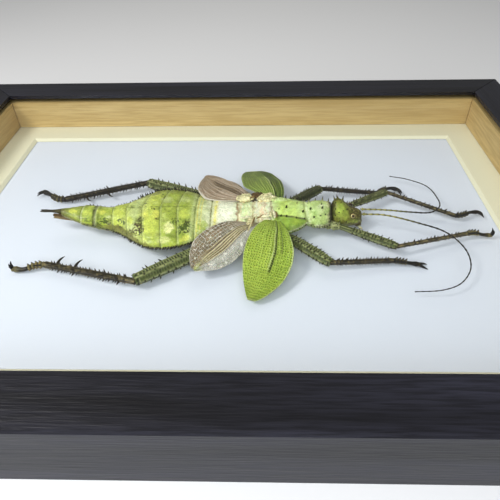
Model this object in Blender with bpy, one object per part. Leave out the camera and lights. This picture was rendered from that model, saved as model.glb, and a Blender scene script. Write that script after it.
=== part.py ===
"""A female jungle nymph stick insect with its wings spread, life size, in its shallow glazed case.

The case lies on its back. +Z is up out of the glass, +X runs from the insect's tail to its head,
and the origin is the middle of the case's back.
All sizes below are in millimetres, and MM turns them into metres when a mesh is made.
The insect is measured in its own frame: x along the case, y from its middle line towards its
left side, and z up from the card that it lies on.
"""

import math

import bmesh
import bpy
from mathutils import Vector

MM = 0.001
GAP = 0.3

# Case
INNER_W = 288.0
INNER_D = 202.0
REBATE = 8.0
RAIL_W = 20.0
RAIL_EDGE = 1.0
BOARD_T = 3.0
CARD_T = 3.0
MAT_T = 1.5
MAT_BORDER = 16.4
LINER_H = 16.6
LINER_T = REBATE - GAP
GLASS_T = 2.0
LIP_T = 2.0

CARD_Z = BOARD_T + GAP
CARD_TOP = CARD_Z + CARD_T
MAT_Z = CARD_TOP + GAP
LINER_Z = MAT_Z + MAT_T + GAP
GLASS_Z = LINER_Z + LINER_H + GAP
LIP_Z = GLASS_Z + GLASS_T + GAP
CASE_H = LIP_Z + LIP_T

# Insect, its place on the card
SPECIMEN_Y = -5.0
NECK_DRIFT = 1.8
NECK_DRIFT_X = 60.0

# Trunk stations: x, half width, top, height of the widest line, bottom
TRUNK = (
    (-80.0, 1.9, 13.7, 11.9, 9.6),
    (-74.0, 4.4, 13.9, 11.0, 7.4),
    (-68.5, 6.7, 14.0, 10.2, 5.6),
    (-63.2, 6.8, 14.0, 8.6, 3.8),
    (-58.0, 6.7, 13.6, 7.0, 2.4),
    (-53.0, 8.6, 14.2, 6.8, 1.6),
    (-48.0, 12.2, 14.5, 7.0, 1.3),
    (-43.4, 16.6, 14.8, 8.0, 1.2),
    (-38.7, 20.1, 15.0, 8.5, 1.2),
    (-33.9, 21.9, 15.1, 8.8, 1.2),
    (-29.1, 22.1, 15.1, 8.8, 1.2),
    (-24.3, 21.5, 15.0, 8.8, 1.2),
    (-19.6, 19.8, 15.0, 8.8, 1.3),
    (-14.0, 16.5, 14.9, 8.8, 1.5),
    (-8.6, 13.0, 14.8, 8.8, 1.8),
    (-3.0, 10.4, 14.8, 8.8, 2.0),
    (3.2, 9.4, 14.9, 8.8, 2.0),
    (11.0, 9.5, 15.1, 8.8, 2.2),
    (18.7, 10.4, 15.4, 8.6, 2.4),
    (26.5, 11.0, 15.7, 8.2, 2.8),
    (32.0, 8.8, 15.8, 8.6, 3.2),
    (35.8, 6.7, 15.8, 9.6, 4.4),
    (39.0, 7.7, 16.0, 9.0, 3.8),
    (43.0, 7.6, 16.1, 9.0, 4.0),
    (46.7, 5.8, 15.6, 9.4, 4.6),
)
EDGE_POWER = 1.18
GROOVE_DEPTH = 0.35
GROOVE_HALF = 0.5
TRUNK_SIDES = 24

# Trunk nodes: name, rear end, front end, grooves between
TRUNK_NODES = (
    ("abdomen_rear", -80.0, -48.8, (-70.0, -63.0, -55.2)),
    ("abdomen_middle", -48.8, -24.9, (-41.3, -32.9)),
    ("abdomen_front", -24.9, 3.2, (-16.0, -8.6)),
    ("metathorax", 3.2, 18.7, (10.4,)),
    ("mesothorax", 18.7, 35.8, ()),
    ("pronotum", 35.8, 46.7, (37.6,)),
)
STATION_STEP = 3.4

# Head stations, in the trunk's columns
HEAD = (
    (47.0, 4.2, 15.0, 10.0, 6.2),
    (48.2, 5.2, 17.4, 10.2, 5.2),
    (50.2, 5.9, 17.7, 10.0, 4.4),
    (52.2, 6.2, 16.4, 9.4, 3.9),
    (54.2, 6.1, 14.6, 8.8, 3.6),
    (56.2, 5.6, 13.1, 8.2, 3.6),
    (58.2, 4.8, 12.1, 7.6, 3.8),
    (60.0, 3.8, 11.4, 7.4, 4.4),
    (61.2, 2.7, 10.4, 7.2, 5.2),
)
HEAD_SIDES = 20
EYE_AT = (56.4, 4.1, 11.2)
EYE_R = 1.35
LIP_AT = (60.8, 0.0, 5.0)
LIP_R = (1.3, 2.2, 1.9)
MANDIBLE_AT = (60.3, 1.6, 4.4)
MANDIBLE_R = (1.4, 1.2, 1.5)
# Palps, on each side: root in x, out from the middle and up; then the way to elbow and tip
PALPS = (
    ((59.6, 2.2, 4.4), (1.5, 0.9, -0.9), (2.5, 0.5, -2.2)),
    ((59.6, 1.0, 4.4), (1.1, 0.9, -1.2), (1.8, 0.5, -2.9)),
)
PALP_R = (0.54, 0.5, 0.32)

# Feelers: socket, then the points that each passes through
SOCKET_R = 1.0
SOCKET_L = 1.6
FEELER_R = (0.5, 0.34, 0.25)
SCAPE_R = 0.8
SCAPE_L = 2.6
SCAPE_PROFILE = ((0.0, 0.8), (0.5, 1.0), (1.0, 0.75))
FEELER_ROUTES = {
    "right": ((60.9, -0.5, 10.7), (71.5, -2.3, 11.4), (85.8, -7.0, 10.4), (97.0, -11.9, 9.0),
              (103.0, -21.2, 7.4), (102.7, -31.3, 6.0), (96.5, -39.8, 5.0), (88.0, -43.4, 4.5),
              (76.7, -43.9, 4.0)),
    "left": ((60.9, 3.3, 10.7), (71.5, 1.5, 11.6), (85.0, 1.8, 10.0), (94.0, 3.4, 8.6),
             (100.0, 9.0, 7.7), (101.4, 16.0, 7.2), (99.3, 28.5, 6.4), (91.4, 36.4, 5.6),
             (82.7, 40.5, 5.0)),
}
FEELER_LENGTHS = 3
FEELER_POINTS = 11

# Ovipositor: an upper beak in two lobes over a lower plate
BEAK_X = (-80.3, -90.2)
BEAK_SECTION = ((0.0, 1.7, 1.25), (0.35, 1.4, 0.9), (0.7, 1.25, 0.75), (1.0, 0.95, 0.45))
BEAK_Z = (12.4, 12.8)
BEAK_SIDES = 12
BEAK_SLIT = 0.6
BEAK_SLIT_L = 6.0
KEEL_X = (-70.6, -84.9)
KEEL_Z = (7.9, 9.9)
KEEL_SECTION = ((0.0, 2.2, 0.9), (0.3, 2.2, 1.0), (0.7, 1.7, 1.2), (1.0, 1.2, 1.2))
KEEL_SIDES = 10
KEEL_FORK = 0.8
KEEL_FORK_L = 2.2
CUT_PAST = 1.0
CUT_TALL = 4.0

# Legs: joints from the body out, then the toe, on each side
LEGS = {
    "fore_right": ((43.4, -3.4, 7.2), (50.6, -5.4, 7.2), (74.2, -19.3, 7.0), (108.6, -7.1, 4.2),
                   (120.5, -6.3, 2.6)),
    "fore_left": ((43.4, 5.2, 7.2), (51.0, 7.4, 7.2), (77.4, 22.6, 7.0), (107.9, 6.6, 4.2),
                  (120.2, 11.1, 3.0)),
    "mid_right": ((21.0, -4.6, 6.6), (24.6, -9.8, 6.2), (44.1, -27.9, 5.2), (72.2, -24.1, 3.0),
                  (83.0, -25.3, 1.9)),
    "mid_left": ((21.0, 5.2, 6.8), (24.6, 10.6, 6.6), (44.4, 26.6, 6.6), (74.2, 27.0, 3.4),
                 (85.0, 30.7, 3.2)),
    "hind_right": ((7.0, -6.0, 6.6), (1.6, -12.4, 6.0), (-38.3, -39.3, 5.0), (-81.9, -26.9, 3.2),
                   (-95.4, -28.5, 1.9)),
    "hind_left": ((7.0, 6.0, 6.6), (1.6, 12.4, 6.2), (-45.0, 34.7, 5.6), (-88.0, 22.9, 3.0),
                  (-102.1, 31.1, 2.2)),
}
# The points that a bent foot passes through between its ankle and its toe
FOOT_BENDS = {
    "fore_right": ((112.6, -6.2, 4.0), (116.9, -6.3, 3.0)),
    "fore_left": ((111.3, 7.5, 3.8), (116.2, 10.3, 3.4)),
    "mid_left": ((78.7, 30.4, 3.4), (82.0, 31.5, 3.4)),
    "hind_right": ((-86.0, -27.3, 2.8), (-91.0, -28.9, 2.0)),
    "hind_left": ((-92.4, 24.0, 2.6), (-97.5, 28.0, 2.4)),
}
# Each pair's radii: coxa, trochanter, thigh, knee, shin at the knee, shin at the ankle, foot
LEG_RADII = {
    "fore": (2.1, 1.5, 2.1, 1.6, 1.05, 0.9, 0.92),
    "mid": (2.5, 1.9, 2.8, 2.1, 1.25, 1.0, 1.0),
    "hind": (2.9, 2.3, 3.5, 2.7, 1.6, 1.35, 1.2),
}
# How far inside the line from hip to knee each pair's thigh lies
THIGH_INSET = {"fore": 0.0, "mid": 0.0, "hind": 0.9}
# Rings of a thigh and a shin: place along it, share of its radius
THIGH_PROFILE = {
    "fore": ((0.24, 0.8), (0.5, 0.95), (0.75, 1.0), (0.92, 0.95)),
    "mid": ((0.24, 0.9), (0.5, 1.0), (0.75, 1.0), (0.92, 0.9)),
    "hind": ((0.24, 0.94), (0.5, 1.0), (0.75, 0.97), (0.92, 0.86)),
}
THIGH_SIDES = 12
THIGH_RIDGE = 0.13
SHIN_TOP = ((0.0, 1.15), (0.07, 1.05), (0.15, 1.0))
SHIN_END = ((0.88, 1.0), (0.96, 1.15), (1.0, 1.0))
SHIN_SIDES = 8
SHIN_RIDGE = 0.1
FOOT_SIDES = 6
FOOT_PLACES = 24
# Rings of a foot: place along it, share of its radius
FOOT_PROFILE = ((1, 0.75), (3, 1.1), (4, 0.72), (6, 1.1), (7, 0.72), (9, 1.1), (10, 0.72),
                (12, 1.1), (13, 0.7), (22, 0.95), (24, 0.8))
CLAW_R = 0.45
CLAW_L = 3.4
CLAW_CURL = 80.0
# Each foot's claws: the way they leave it and the way they curl, both along the foot, to the
# left and up; and the angle between a claw and their middle line
CLAW_TURNS = {
    "fore_right": ((0.7, 0.0, 0.7), (-0.7, 0.1, 0.8), 26.0),
    "fore_left": ((0.9, -0.4, 0.0), (0.0, -1.0, -0.2), 30.0),
    "mid_right": ((1.0, 0.0, 0.1), (0.9, 0.0, -0.4), 38.0),
    "mid_left": ((0.9, -0.2, -0.1), (-0.1, -0.9, -0.3), 26.0),
    "hind_right": ((0.7, 0.0, 0.7), (-0.5, 0.1, 0.9), 27.0),
    "hind_left": ((1.0, -0.1, 0.1), (0.2, -1.0, -0.1), 28.0),
}

# Spines: every row is set along a length, and a spine's own length varies by SPINE_VARY
SPINE_SIDES = 4
SPINE_WIDTH = 0.26
SPINE_SINK = 0.55
SPINE_VARY = 0.2
EDGE_ROW = (-61.0, -28.2, 15, 1.5)
EDGE_TURN = -4.0
RIDGE_ROW = (22.5, 34.5, 5, 1.5)
RIDGE_TURN = 50.0
FLARE_ROW = (30.4, 34.4, 3, 1.1)
FLARE_TURN = 2.0
NECK_ROW = (38.9, 45.4, 4, 1.6)
NECK_TURN = 22.0
BACK_SPINES = ((26.4, 78.0), (33.6, 72.0), (39.4, 70.0), (44.4, 74.0))
BACK_SPINE_L = 1.4
CREST_SPINES = ((48.9, 32.0, 1.3, 0.0), (48.8, 64.0, 1.6, -0.5), (50.6, 84.0, 1.5, 0.1),
                (52.4, 60.0, 1.4, 0.3), (54.6, 74.0, 1.1, 0.4), (53.6, 24.0, 1.0, 0.2),
                (51.0, -8.0, 0.9, 0.0))
# Rows of a thigh: turn about it from its level side, how many
THIGH_ROWS = ((0, 5), (60, 4), (120, 4), (180, 5))
THIGH_ROW_START = 0.3
THIGH_ROW_STAGGER = 0.2
THIGH_ROW_L = 0.62
SHIN_ROW_START = 0.14
SHIN_ROW_L = 0.76
LIMB_SPINE_LEAN = 0.5
THIGH_SPINE_L = {"fore": 1.1, "mid": 1.4, "hind": 1.7}
SHIN_TEETH = {"fore": (4, 0.8), "mid": (5, 1.0), "hind": (7, 1.2)}
SHIN_HOOKS = {"hind_right": (0.66, 0.86), "hind_left": (0.5, 0.75)}
HOOK_L = 4.6
HOOK_R = 0.5
HOOK_RISE = 0.1
HOOK_CURL = 48.0

# Wings: root, tip, and each margin's half width, place of the widest part and fullness
TEGMEN = {
    "right": {"root": (20.6, -4.4), "tip": (9.3, -48.8),
              "rear": (7.4, 0.5, 0.8, 0.8), "front": (13.2, 0.55, 1.15, 0.6)},
    "left": {"root": (19.4, 6.2), "tip": (9.6, 49.2),
             "rear": (9.9, 0.4, 2.1, 0.3), "front": (9.5, 0.65, 0.4, 0.3)},
}
TEGMEN_T = 0.8
TEGMEN_ROOT_Z = 12.4
TEGMEN_DROOP = ((5.0, 14.2), (12.0, 14.0), (20.0, 12.6), (28.0, 10.6), (36.0, 7.6), (50.0, 2.6))
HINDWING = {
    "right": {"root": (12.4, -8.2), "tip": (-14.4, -35.4),
              "rear": (10.9, 0.68, 0.92, 0.66), "front": (6.9, 0.55, 1.45, 1.0)},
    "left": {"root": (10.8, 8.4), "tip": (-16.1, 40.0),
             "rear": (18.2, 0.36, 1.7, 0.95), "front": (9.0, 0.68, 2.1, 0.7)},
}
HINDWING_T = 0.6
HINDWING_ROOT_Z = 11.6
HINDWING_DROOP = ((8.0, 14.9), (13.0, 14.6), (18.0, 13.2), (24.0, 11.0), (29.0, 9.6), (38.0, 6.6))
HINDWING_DIP = 2.6
VEIN_H = 0.3
TEGMEN_STEP = 0.45
TEGMEN_FOLD = -0.4
WING_ROOT_HALF = 1.8
WING_RISE = 0.34
WING_END = 0.985
WING_ROWS = 12
WING_COLUMNS = 15

# Materials: colour, roughness
COLOURS = {
    "black_wood": ((0.018, 0.016, 0.017), 0.5),
    "oak": ((0.58, 0.43, 0.27), 0.6),
    "back_board": ((0.33, 0.25, 0.17), 0.8),
    "card": ((0.80, 0.83, 0.88), 0.8),
    "mat": ((0.86, 0.82, 0.70), 0.8),
    "glass": ((0.9, 0.93, 0.93), 0.03),
    "green_body": ((0.46, 0.55, 0.12), 0.5),
    "cream_body": ((0.70, 0.70, 0.42), 0.5),
    "green_head": ((0.33, 0.36, 0.09), 0.5),
    "eye": ((0.12, 0.10, 0.05), 0.2),
    "feeler": ((0.20, 0.20, 0.10), 0.5),
    "brown_beak": ((0.18, 0.14, 0.07), 0.5),
    "green_leg": ((0.12, 0.15, 0.05), 0.5),
    "brown_leg": ((0.10, 0.08, 0.04), 0.5),
    "dark_foot": ((0.06, 0.045, 0.03), 0.45),
    "leaf_wing": ((0.38, 0.52, 0.06), 0.45),
    "grey_wing": ((0.42, 0.34, 0.28), 0.4),
}


def clear_scene():
    for old in list(bpy.data.objects):
        bpy.data.objects.remove(old, do_unlink=True)


def material(name):
    """The shared Principled material of that name."""
    finish = bpy.data.materials.get(name)
    if finish is None:
        colour, roughness = COLOURS[name]
        finish = bpy.data.materials.new(name)
        finish.use_nodes = True
        shader = finish.node_tree.nodes["Principled BSDF"]
        shader.inputs["Base Color"].default_value = (*colour, 1.0)
        shader.inputs["Roughness"].default_value = roughness
        shader.inputs["Metallic"].default_value = 0.0
    return finish


def add_object(name, mesh, finish, group, parent=None):
    mesh.materials.clear()
    mesh.materials.append(material(finish))
    obj = bpy.data.objects.new(name, mesh)
    group.objects.link(obj)
    obj.parent = parent
    return obj


def mesh_from(name, points, faces):
    """A closed mesh from points in millimetres, with its faces turned outwards."""
    mesh = bpy.data.meshes.new(name)
    mesh.from_pydata([tuple(Vector(p) * MM) for p in points], [], faces)
    form = bmesh.new()
    form.from_mesh(mesh)
    bmesh.ops.recalc_face_normals(form, faces=form.faces)
    form.to_mesh(mesh)
    form.free()
    return mesh


def loft(name, rings):
    """A closed mesh through rings of points, each ring with as many points as the next."""
    count = len(rings[0])
    points = [p for ring in rings for p in ring]
    faces = [tuple(range(count)), tuple(range(len(points) - count, len(points)))]
    for row in range(len(rings) - 1):
        for i in range(count):
            a = row * count + i
            b = row * count + (i + 1) % count
            faces.append((a, b, b + count, a + count))
    return mesh_from(name, points, faces)


def blend_value(table, x, column):
    """A column of a table of stations, read at x along a smooth curve through them."""
    last = len(table) - 1
    i = 0
    while i < last - 1 and x > table[i + 1][0]:
        i += 1
    before, a, b, after = (table[max(0, min(last, i + k))] for k in (-1, 0, 1, 2))
    span = b[0] - a[0]
    t = max(0.0, min(1.0, (x - a[0]) / span))
    slope_a = (b[column] - before[column]) / (b[0] - before[0]) * span
    slope_b = (after[column] - a[column]) / (after[0] - a[0]) * span
    return (
        (2 * t**3 - 3 * t**2 + 1) * a[column]
        + (t**3 - 2 * t**2 + t) * slope_a
        + (3 * t**2 - 2 * t**3) * b[column]
        + (t**3 - t**2) * slope_b
    )


def middle_y(x):
    """The insect's middle line leans a little to its left towards the head."""
    return NECK_DRIFT * (max(x, 0.0) / NECK_DRIFT_X) ** 2


def section_point(table, x, turn, shrink=0.0):
    """A point of the trunk's or head's outline at x, turned up from its left side, in radians."""
    half, top, side, bottom = (blend_value(table, x, c) for c in (1, 2, 3, 4))
    rise = math.sin(turn)
    reach = top - side - shrink if rise > 0 else side - bottom - shrink
    height = math.copysign(reach * abs(rise) ** EDGE_POWER, rise)
    return Vector((x, middle_y(x) + (half - shrink) * math.cos(turn), side + height))


def section(table, x, sides, shrink):
    """A ring of the trunk or head at x, set in from its full size by shrink."""
    return [section_point(table, x, 2 * math.pi * i / sides, shrink) for i in range(sides)]


def trunk_places(rear, front, grooves):
    """The x of each ring between a node's two ends, and how far it is set in there."""
    places = [(rear + GAP / 2, GROOVE_DEPTH), (rear + GAP / 2 + GROOVE_HALF, 0.0)]
    marks = [rear, *grooves, front]
    for a, b in zip(marks, marks[1:]):
        steps = max(1, round((b - a) / STATION_STEP))
        places += [(a + (b - a) * k / steps, 0.0) for k in range(1, steps)]
        if b != front:
            places += [(b - GROOVE_HALF, 0.0), (b, GROOVE_DEPTH), (b + GROOVE_HALF, 0.0)]
    places += [(front - GAP / 2 - GROOVE_HALF, 0.0), (front - GAP / 2, GROOVE_DEPTH)]
    return sorted(places)


def trunk_node(name, rear, front, grooves, grow=0.0):
    rings = [section(TRUNK, x, TRUNK_SIDES, inset - grow)
             for x, inset in trunk_places(rear, front, grooves)]
    return loft(name, rings)


def head_rings(grow=0.0):
    return [section(HEAD, row[0], HEAD_SIDES, -grow) for row in HEAD]


def frame_at(direction):
    """Two unit vectors across a direction: one level, one up."""
    forward = Vector(direction).normalized()
    level = forward.cross(Vector((0, 0, 1))).normalized()
    return level, level.cross(forward)


def oval(x, y, z, half, tall, sides):
    """A ring across the insect's length."""
    turns = [2 * math.pi * i / sides for i in range(sides)]
    return [(x, y + half * math.cos(a), z + tall * math.sin(a)) for a in turns]


def ring_across(centre, direction, radius, sides, ridge=0.0, flat=1.0):
    """A ring of points across a direction, with every other point drawn in by ridge."""
    level, up = frame_at(direction)
    ring = []
    for i in range(sides):
        turn = 2 * math.pi * i / sides
        reach = radius * (1 - ridge if i % 2 else 1)
        offset = level * (reach * math.cos(turn)) + up * (reach * flat * math.sin(turn))
        ring.append(Vector(centre) + offset)
    return ring


def mitre(ring, axis, point, normal):
    """Slide a ring's points along an axis onto a plane."""
    axis = Vector(axis).normalized()
    return [p - axis * ((p - Vector(point)).dot(normal) / axis.dot(normal)) for p in ring]


def mitre_normal(a, b):
    """The normal of the plane that halves the bend between two directions."""
    return (Vector(a).normalized() + Vector(b).normalized()).normalized()


def evaluated_mesh(obj):
    bpy.context.view_layer.update()
    graph = bpy.context.evaluated_depsgraph_get()
    return bpy.data.meshes.new_from_object(obj.evaluated_get(graph))


def largest_surface(mesh):
    """Keep only the mesh's largest closed surface."""
    form = bmesh.new()
    form.from_mesh(mesh)
    left = set(form.faces)
    shells = []
    while left:
        shell = {left.pop()}
        edge_of_shell = list(shell)
        while edge_of_shell:
            face = edge_of_shell.pop()
            near = {n for e in face.edges for n in e.link_faces if n in left}
            left -= near
            shell |= near
            edge_of_shell += near
        shells.append(shell)
    shells.sort(key=lambda s: sum(f.calc_area() for f in s))
    scrap = [f for s in shells[:-1] for f in s]
    bmesh.ops.delete(form, geom=scrap, context="FACES")
    form.to_mesh(mesh)
    form.free()
    return mesh


def combine(mesh, others, operation):
    """One Boolean of a mesh with a collection of closed meshes, applied."""
    core = bpy.data.objects.new("core", mesh)
    group = bpy.data.collections.new("pieces")
    bpy.context.scene.collection.objects.link(core)
    bpy.context.scene.collection.children.link(group)
    for other in others:
        group.objects.link(bpy.data.objects.new("piece", other))
    step = core.modifiers.new("combine", "BOOLEAN")
    step.operation = operation
    step.operand_type = "COLLECTION"
    step.collection = group
    step.solver = "EXACT"
    result = evaluated_mesh(core)
    for piece in [core, *group.objects]:
        bpy.data.objects.remove(piece, do_unlink=True)
    bpy.data.collections.remove(group)
    return largest_surface(result)


def ellipsoid(centre, radii, segments=12, rings=8):
    mesh = bpy.data.meshes.new("ellipsoid")
    form = bmesh.new()
    bmesh.ops.create_uvsphere(form, u_segments=segments, v_segments=rings, radius=MM)
    bmesh.ops.scale(form, vec=Vector(radii), verts=form.verts)
    bmesh.ops.translate(form, vec=Vector(centre) * MM, verts=form.verts)
    form.to_mesh(mesh)
    form.free()
    return mesh


def tube(name, centres, radii, sides, ridge=0.0):
    """A closed tube through centres, with a radius at each."""
    rings = []
    last = len(centres) - 1
    for i, (centre, radius) in enumerate(zip(centres, radii)):
        ahead = Vector(centres[min(i + 1, last)])
        behind = Vector(centres[max(i - 1, 0)])
        rings.append(ring_across(centre, ahead - behind, radius, sides, ridge))
    return loft(name, rings)


def spine(root, direction, length, order):
    """A tapering spine with its foot sunk in. Its order in its row varies its length."""
    length *= 1 + SPINE_VARY * math.sin(2.3 * order)
    direction = Vector(direction).normalized()
    tall = length + SPINE_SINK
    mesh = bpy.data.meshes.new("spine")
    form = bmesh.new()
    bmesh.ops.create_cone(form, cap_ends=True, segments=SPINE_SIDES, depth=tall * MM, radius2=0,
                          radius1=SPINE_WIDTH * tall * MM)
    turn = Vector((0, 0, 1)).rotation_difference(direction).to_matrix()
    bmesh.ops.rotate(form, cent=(0, 0, 0), matrix=turn, verts=form.verts)
    middle = Vector(root) + direction * (length - SPINE_SINK) / 2
    bmesh.ops.translate(form, vec=middle * MM, verts=form.verts)
    form.to_mesh(mesh)
    form.free()
    return mesh


def hook(root, out, ahead, length, radius, curl, steps=4, sides=6):
    """A horn that leaves its root outwards and curls ahead by curl degrees, tapering to its tip."""
    rings = []
    centre = Vector(root) - Vector(out) * SPINE_SINK
    for k in range(steps + 1):
        share = k / steps
        turn = math.radians(curl) * share
        heading = Vector(out) * math.cos(turn) + Vector(ahead) * math.sin(turn)
        rings.append(ring_across(centre, heading, radius * (1 - 0.85 * share), sides))
        centre = centre + heading.normalized() * (length / steps)
    return loft("hook", rings)


def both_sides(table, x, turn, lean, length, order):
    """A pair of spines, one on each side, turn degrees up, leaning forward by lean."""
    half, top, side = (blend_value(table, x, c) for c in (1, 2, 3))
    pair = []
    for angle in (math.radians(turn), math.radians(180 - turn)):
        out = Vector((0, math.cos(angle) / half, math.sin(angle) / (top - side))).normalized()
        root = section_point(table, x, angle)
        pair.append(spine(root, out + Vector((lean, 0, 0)), length, order))
    return pair


def smooth_path(route, count):
    """Points at even steps of a smooth curve through a route's own points."""
    points = [Vector(p) for p in route]
    places = [0.0]
    for a, b in zip(points, points[1:]):
        places.append(places[-1] + (b - a).length)
    table = [(s, *p) for s, p in zip(places, points)]
    return [Vector(blend_value(table, places[-1] * k / (count - 1), c) for c in (1, 2, 3))
            for k in range(count)]


def case_box(name, height, z, finish, group):
    """A flat sheet that fills the rails' rebate."""
    mesh = bpy.data.meshes.new(name)
    form = bmesh.new()
    bmesh.ops.create_cube(form, size=1.0)
    size = Vector((INNER_W + 2 * LINER_T, INNER_D + 2 * LINER_T, height)) * MM
    bmesh.ops.scale(form, vec=size, verts=form.verts)
    form.to_mesh(mesh)
    form.free()
    sheet = add_object(name, mesh, finish, group)
    sheet.location = (0, 0, (z + height / 2) * MM)
    return sheet


def case_bars(kind, profile, finish, group):
    """Four mitred bars round the opening. The profile is (distance out from it, height)."""
    mitre_gap = GAP / math.sqrt(2)
    for side, along, across, sign in (
        ("near", INNER_W, INNER_D, -1),
        ("far", INNER_W, INNER_D, 1),
        ("left", INNER_D, INNER_W, -1),
        ("right", INNER_D, INNER_W, 1),
    ):
        rings = []
        for end in (-1, 1):
            ring = []
            for out, z in profile:
                u = end * (along / 2 + out - mitre_gap)
                v = sign * (across / 2 + out)
                ring.append((u, v, z) if side in ("near", "far") else (v, u, z))
            rings.append(ring)
        name = "case_" + kind + "_" + side
        add_object(name, loft(name, rings), finish, group)


def build_case(group):
    case_box("case_backboard", BOARD_T, 0.0, "back_board", group)
    case_box("case_card", CARD_T, CARD_Z, "card", group)
    case_box("case_glass", GLASS_T, GLASS_Z, "glass", group)
    edge = RAIL_EDGE
    rail = (
        (0.0, LIP_Z), (0.0, CASE_H), (RAIL_W - edge, CASE_H), (RAIL_W, CASE_H - edge),
        (RAIL_W, 0.0), (REBATE, 0.0), (REBATE, LIP_Z),
    )
    case_bars("rail", rail, "black_wood", group)
    liner_top = LINER_Z + LINER_H
    liner = ((0.0, LINER_Z), (0.0, liner_top), (LINER_T, liner_top), (LINER_T, LINER_Z))
    case_bars("liner", liner, "oak", group)
    build_mat(group)


def build_mat(group):
    """The mat is one sheet with a bevelled window in it."""
    half_w = INNER_W / 2 + LINER_T
    half_d = INNER_D / 2 + LINER_T
    window_w = INNER_W / 2 - MAT_BORDER
    window_d = INNER_D / 2 - MAT_BORDER

    def corners(w, d, z):
        return [(w, d, z), (-w, d, z), (-w, -d, z), (w, -d, z)]

    sheet = loft("case_mat", [corners(half_w, half_d, MAT_Z), corners(half_w, half_d, MAT_Z + MAT_T)])
    window = loft("window", [
        corners(window_w - MAT_T, window_d - MAT_T, MAT_Z - MAT_T),
        corners(window_w + 2 * MAT_T, window_d + 2 * MAT_T, MAT_Z + 2 * MAT_T),
    ])
    add_object("case_mat", combine(sheet, [window], "DIFFERENCE"), "mat", group)


def trunk_spines():
    """The trunk's pairs of spines, each with its x. A row is (first x, last x, pairs, length)."""
    rows = []
    for row, turn, lean in ((EDGE_ROW, EDGE_TURN, -0.35), (RIDGE_ROW, RIDGE_TURN, 0.2),
                            (FLARE_ROW, FLARE_TURN, 0.1), (NECK_ROW, NECK_TURN, 0.1)):
        first, last, count, length = row
        for k in range(count):
            x = first + (last - first) * k / (count - 1)
            rows.append((x, both_sides(TRUNK, x, turn, lean, length, k)))
    for k, (x, turn) in enumerate(BACK_SPINES):
        rows.append((x, both_sides(TRUNK, x, turn, 0.1, BACK_SPINE_L, k)))
    return rows


def build_trunk(group, specimen):
    rows = trunk_spines()
    for name, rear, front, grooves in TRUNK_NODES:
        finish = "cream_body" if name == "metathorax" else "green_body"
        mesh = trunk_node(name, rear, front, grooves)
        if name == "abdomen_rear":
            mesh = combine(mesh, [keel_mesh(GAP)], "DIFFERENCE")
        spines = [s for x, pair in rows if rear + 1 < x < front - 1 for s in pair]
        if spines:
            mesh = combine(mesh, spines, "UNION")
        add_object(name, mesh, finish, group, specimen)


def keel_mesh(grow=0.0):
    """The lower plate of the ovipositor, a tapering tongue under the last segments."""
    rings = []
    for s, half, thick in KEEL_SECTION:
        x = KEEL_X[0] + (KEEL_X[1] - KEEL_X[0]) * s
        z = KEEL_Z[0] + (KEEL_Z[1] - KEEL_Z[0]) * s
        rings.append(oval(x, 0, z, half + grow, thick + grow, KEEL_SIDES))
    return loft("keel", rings)


def build_ovipositor(group, specimen):
    rings = []
    for s, half, tall in BEAK_SECTION:
        x = BEAK_X[0] + (BEAK_X[1] - BEAK_X[0]) * s
        z = BEAK_Z[0] + (BEAK_Z[1] - BEAK_Z[0]) * s
        rings.append(oval(x, 0, z, half, tall, BEAK_SIDES))
    slit = loft("slit", [
        oval(x, 0, BEAK_Z[1], width, CUT_TALL, 4)
        for x, width in ((BEAK_X[1] - CUT_PAST, BEAK_SLIT), (BEAK_X[1] + BEAK_SLIT_L, BEAK_SLIT / 4))
    ])
    beak = combine(loft("beak", rings), [slit], "DIFFERENCE")
    add_object("ovipositor_upper", beak, "brown_beak", group, specimen)
    fork = loft("fork", [
        oval(x, 0, KEEL_Z[1], half, half, 8)
        for x, half in ((KEEL_X[1] - CUT_PAST, KEEL_FORK), (KEEL_X[1] + KEEL_FORK_L, KEEL_FORK / 3))
    ])
    keel = combine(keel_mesh(), [fork], "DIFFERENCE")
    add_object("ovipositor_lower", keel, "brown_beak", group, specimen)


def build_head(group, specimen):
    sockets = [ellipsoid((EYE_AT[0], middle_y(EYE_AT[0]) + side * EYE_AT[1], EYE_AT[2]),
                         [EYE_R + GAP] * 3) for side in (-1, 1)]
    added = mouth_pieces() + feeler_sockets()
    for k, (x, turn, length, lean) in enumerate(CREST_SPINES):
        added += both_sides(HEAD, x, turn, lean, length, k)
    head = combine(loft("head", head_rings()), added, "UNION")
    head = combine(head, sockets, "DIFFERENCE")
    add_object("head", head, "green_head", group, specimen)
    for side, sign in (("left", 1), ("right", -1)):
        centre = (EYE_AT[0], middle_y(EYE_AT[0]) + sign * EYE_AT[1], EYE_AT[2])
        add_object("eye_" + side, ellipsoid(centre, [EYE_R] * 3), "eye", group, specimen)


def mouth_pieces():
    """The upper lip, and two pairs of palps hanging under it."""
    y = middle_y(LIP_AT[0])
    pieces = [ellipsoid((LIP_AT[0], y, LIP_AT[2]), LIP_R, 10, 6)]
    for sign in (-1, 1):
        jaw = (MANDIBLE_AT[0], y + sign * MANDIBLE_AT[1], MANDIBLE_AT[2])
        pieces.append(ellipsoid(jaw, MANDIBLE_R, 8, 6))
        mirror = Vector((1, sign, 1))
        for root, elbow, tip in PALPS:
            start = Vector(root) * mirror + Vector((0, y, 0))
            route = [start, start + Vector(elbow) * mirror, start + Vector(tip) * mirror]
            pieces.append(tube("palp", route, PALP_R, 6))
    return pieces


def feeler_sockets():
    pieces = []
    for side in ("right", "left"):
        first, second = (Vector(p) for p in FEELER_ROUTES[side][:2])
        ahead = (second - first).normalized()
        mouth = first - ahead * GAP
        pieces.append(tube("socket", [mouth - ahead * SOCKET_L * 2, mouth], (SOCKET_R,) * 2, 10))
    return pieces


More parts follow.
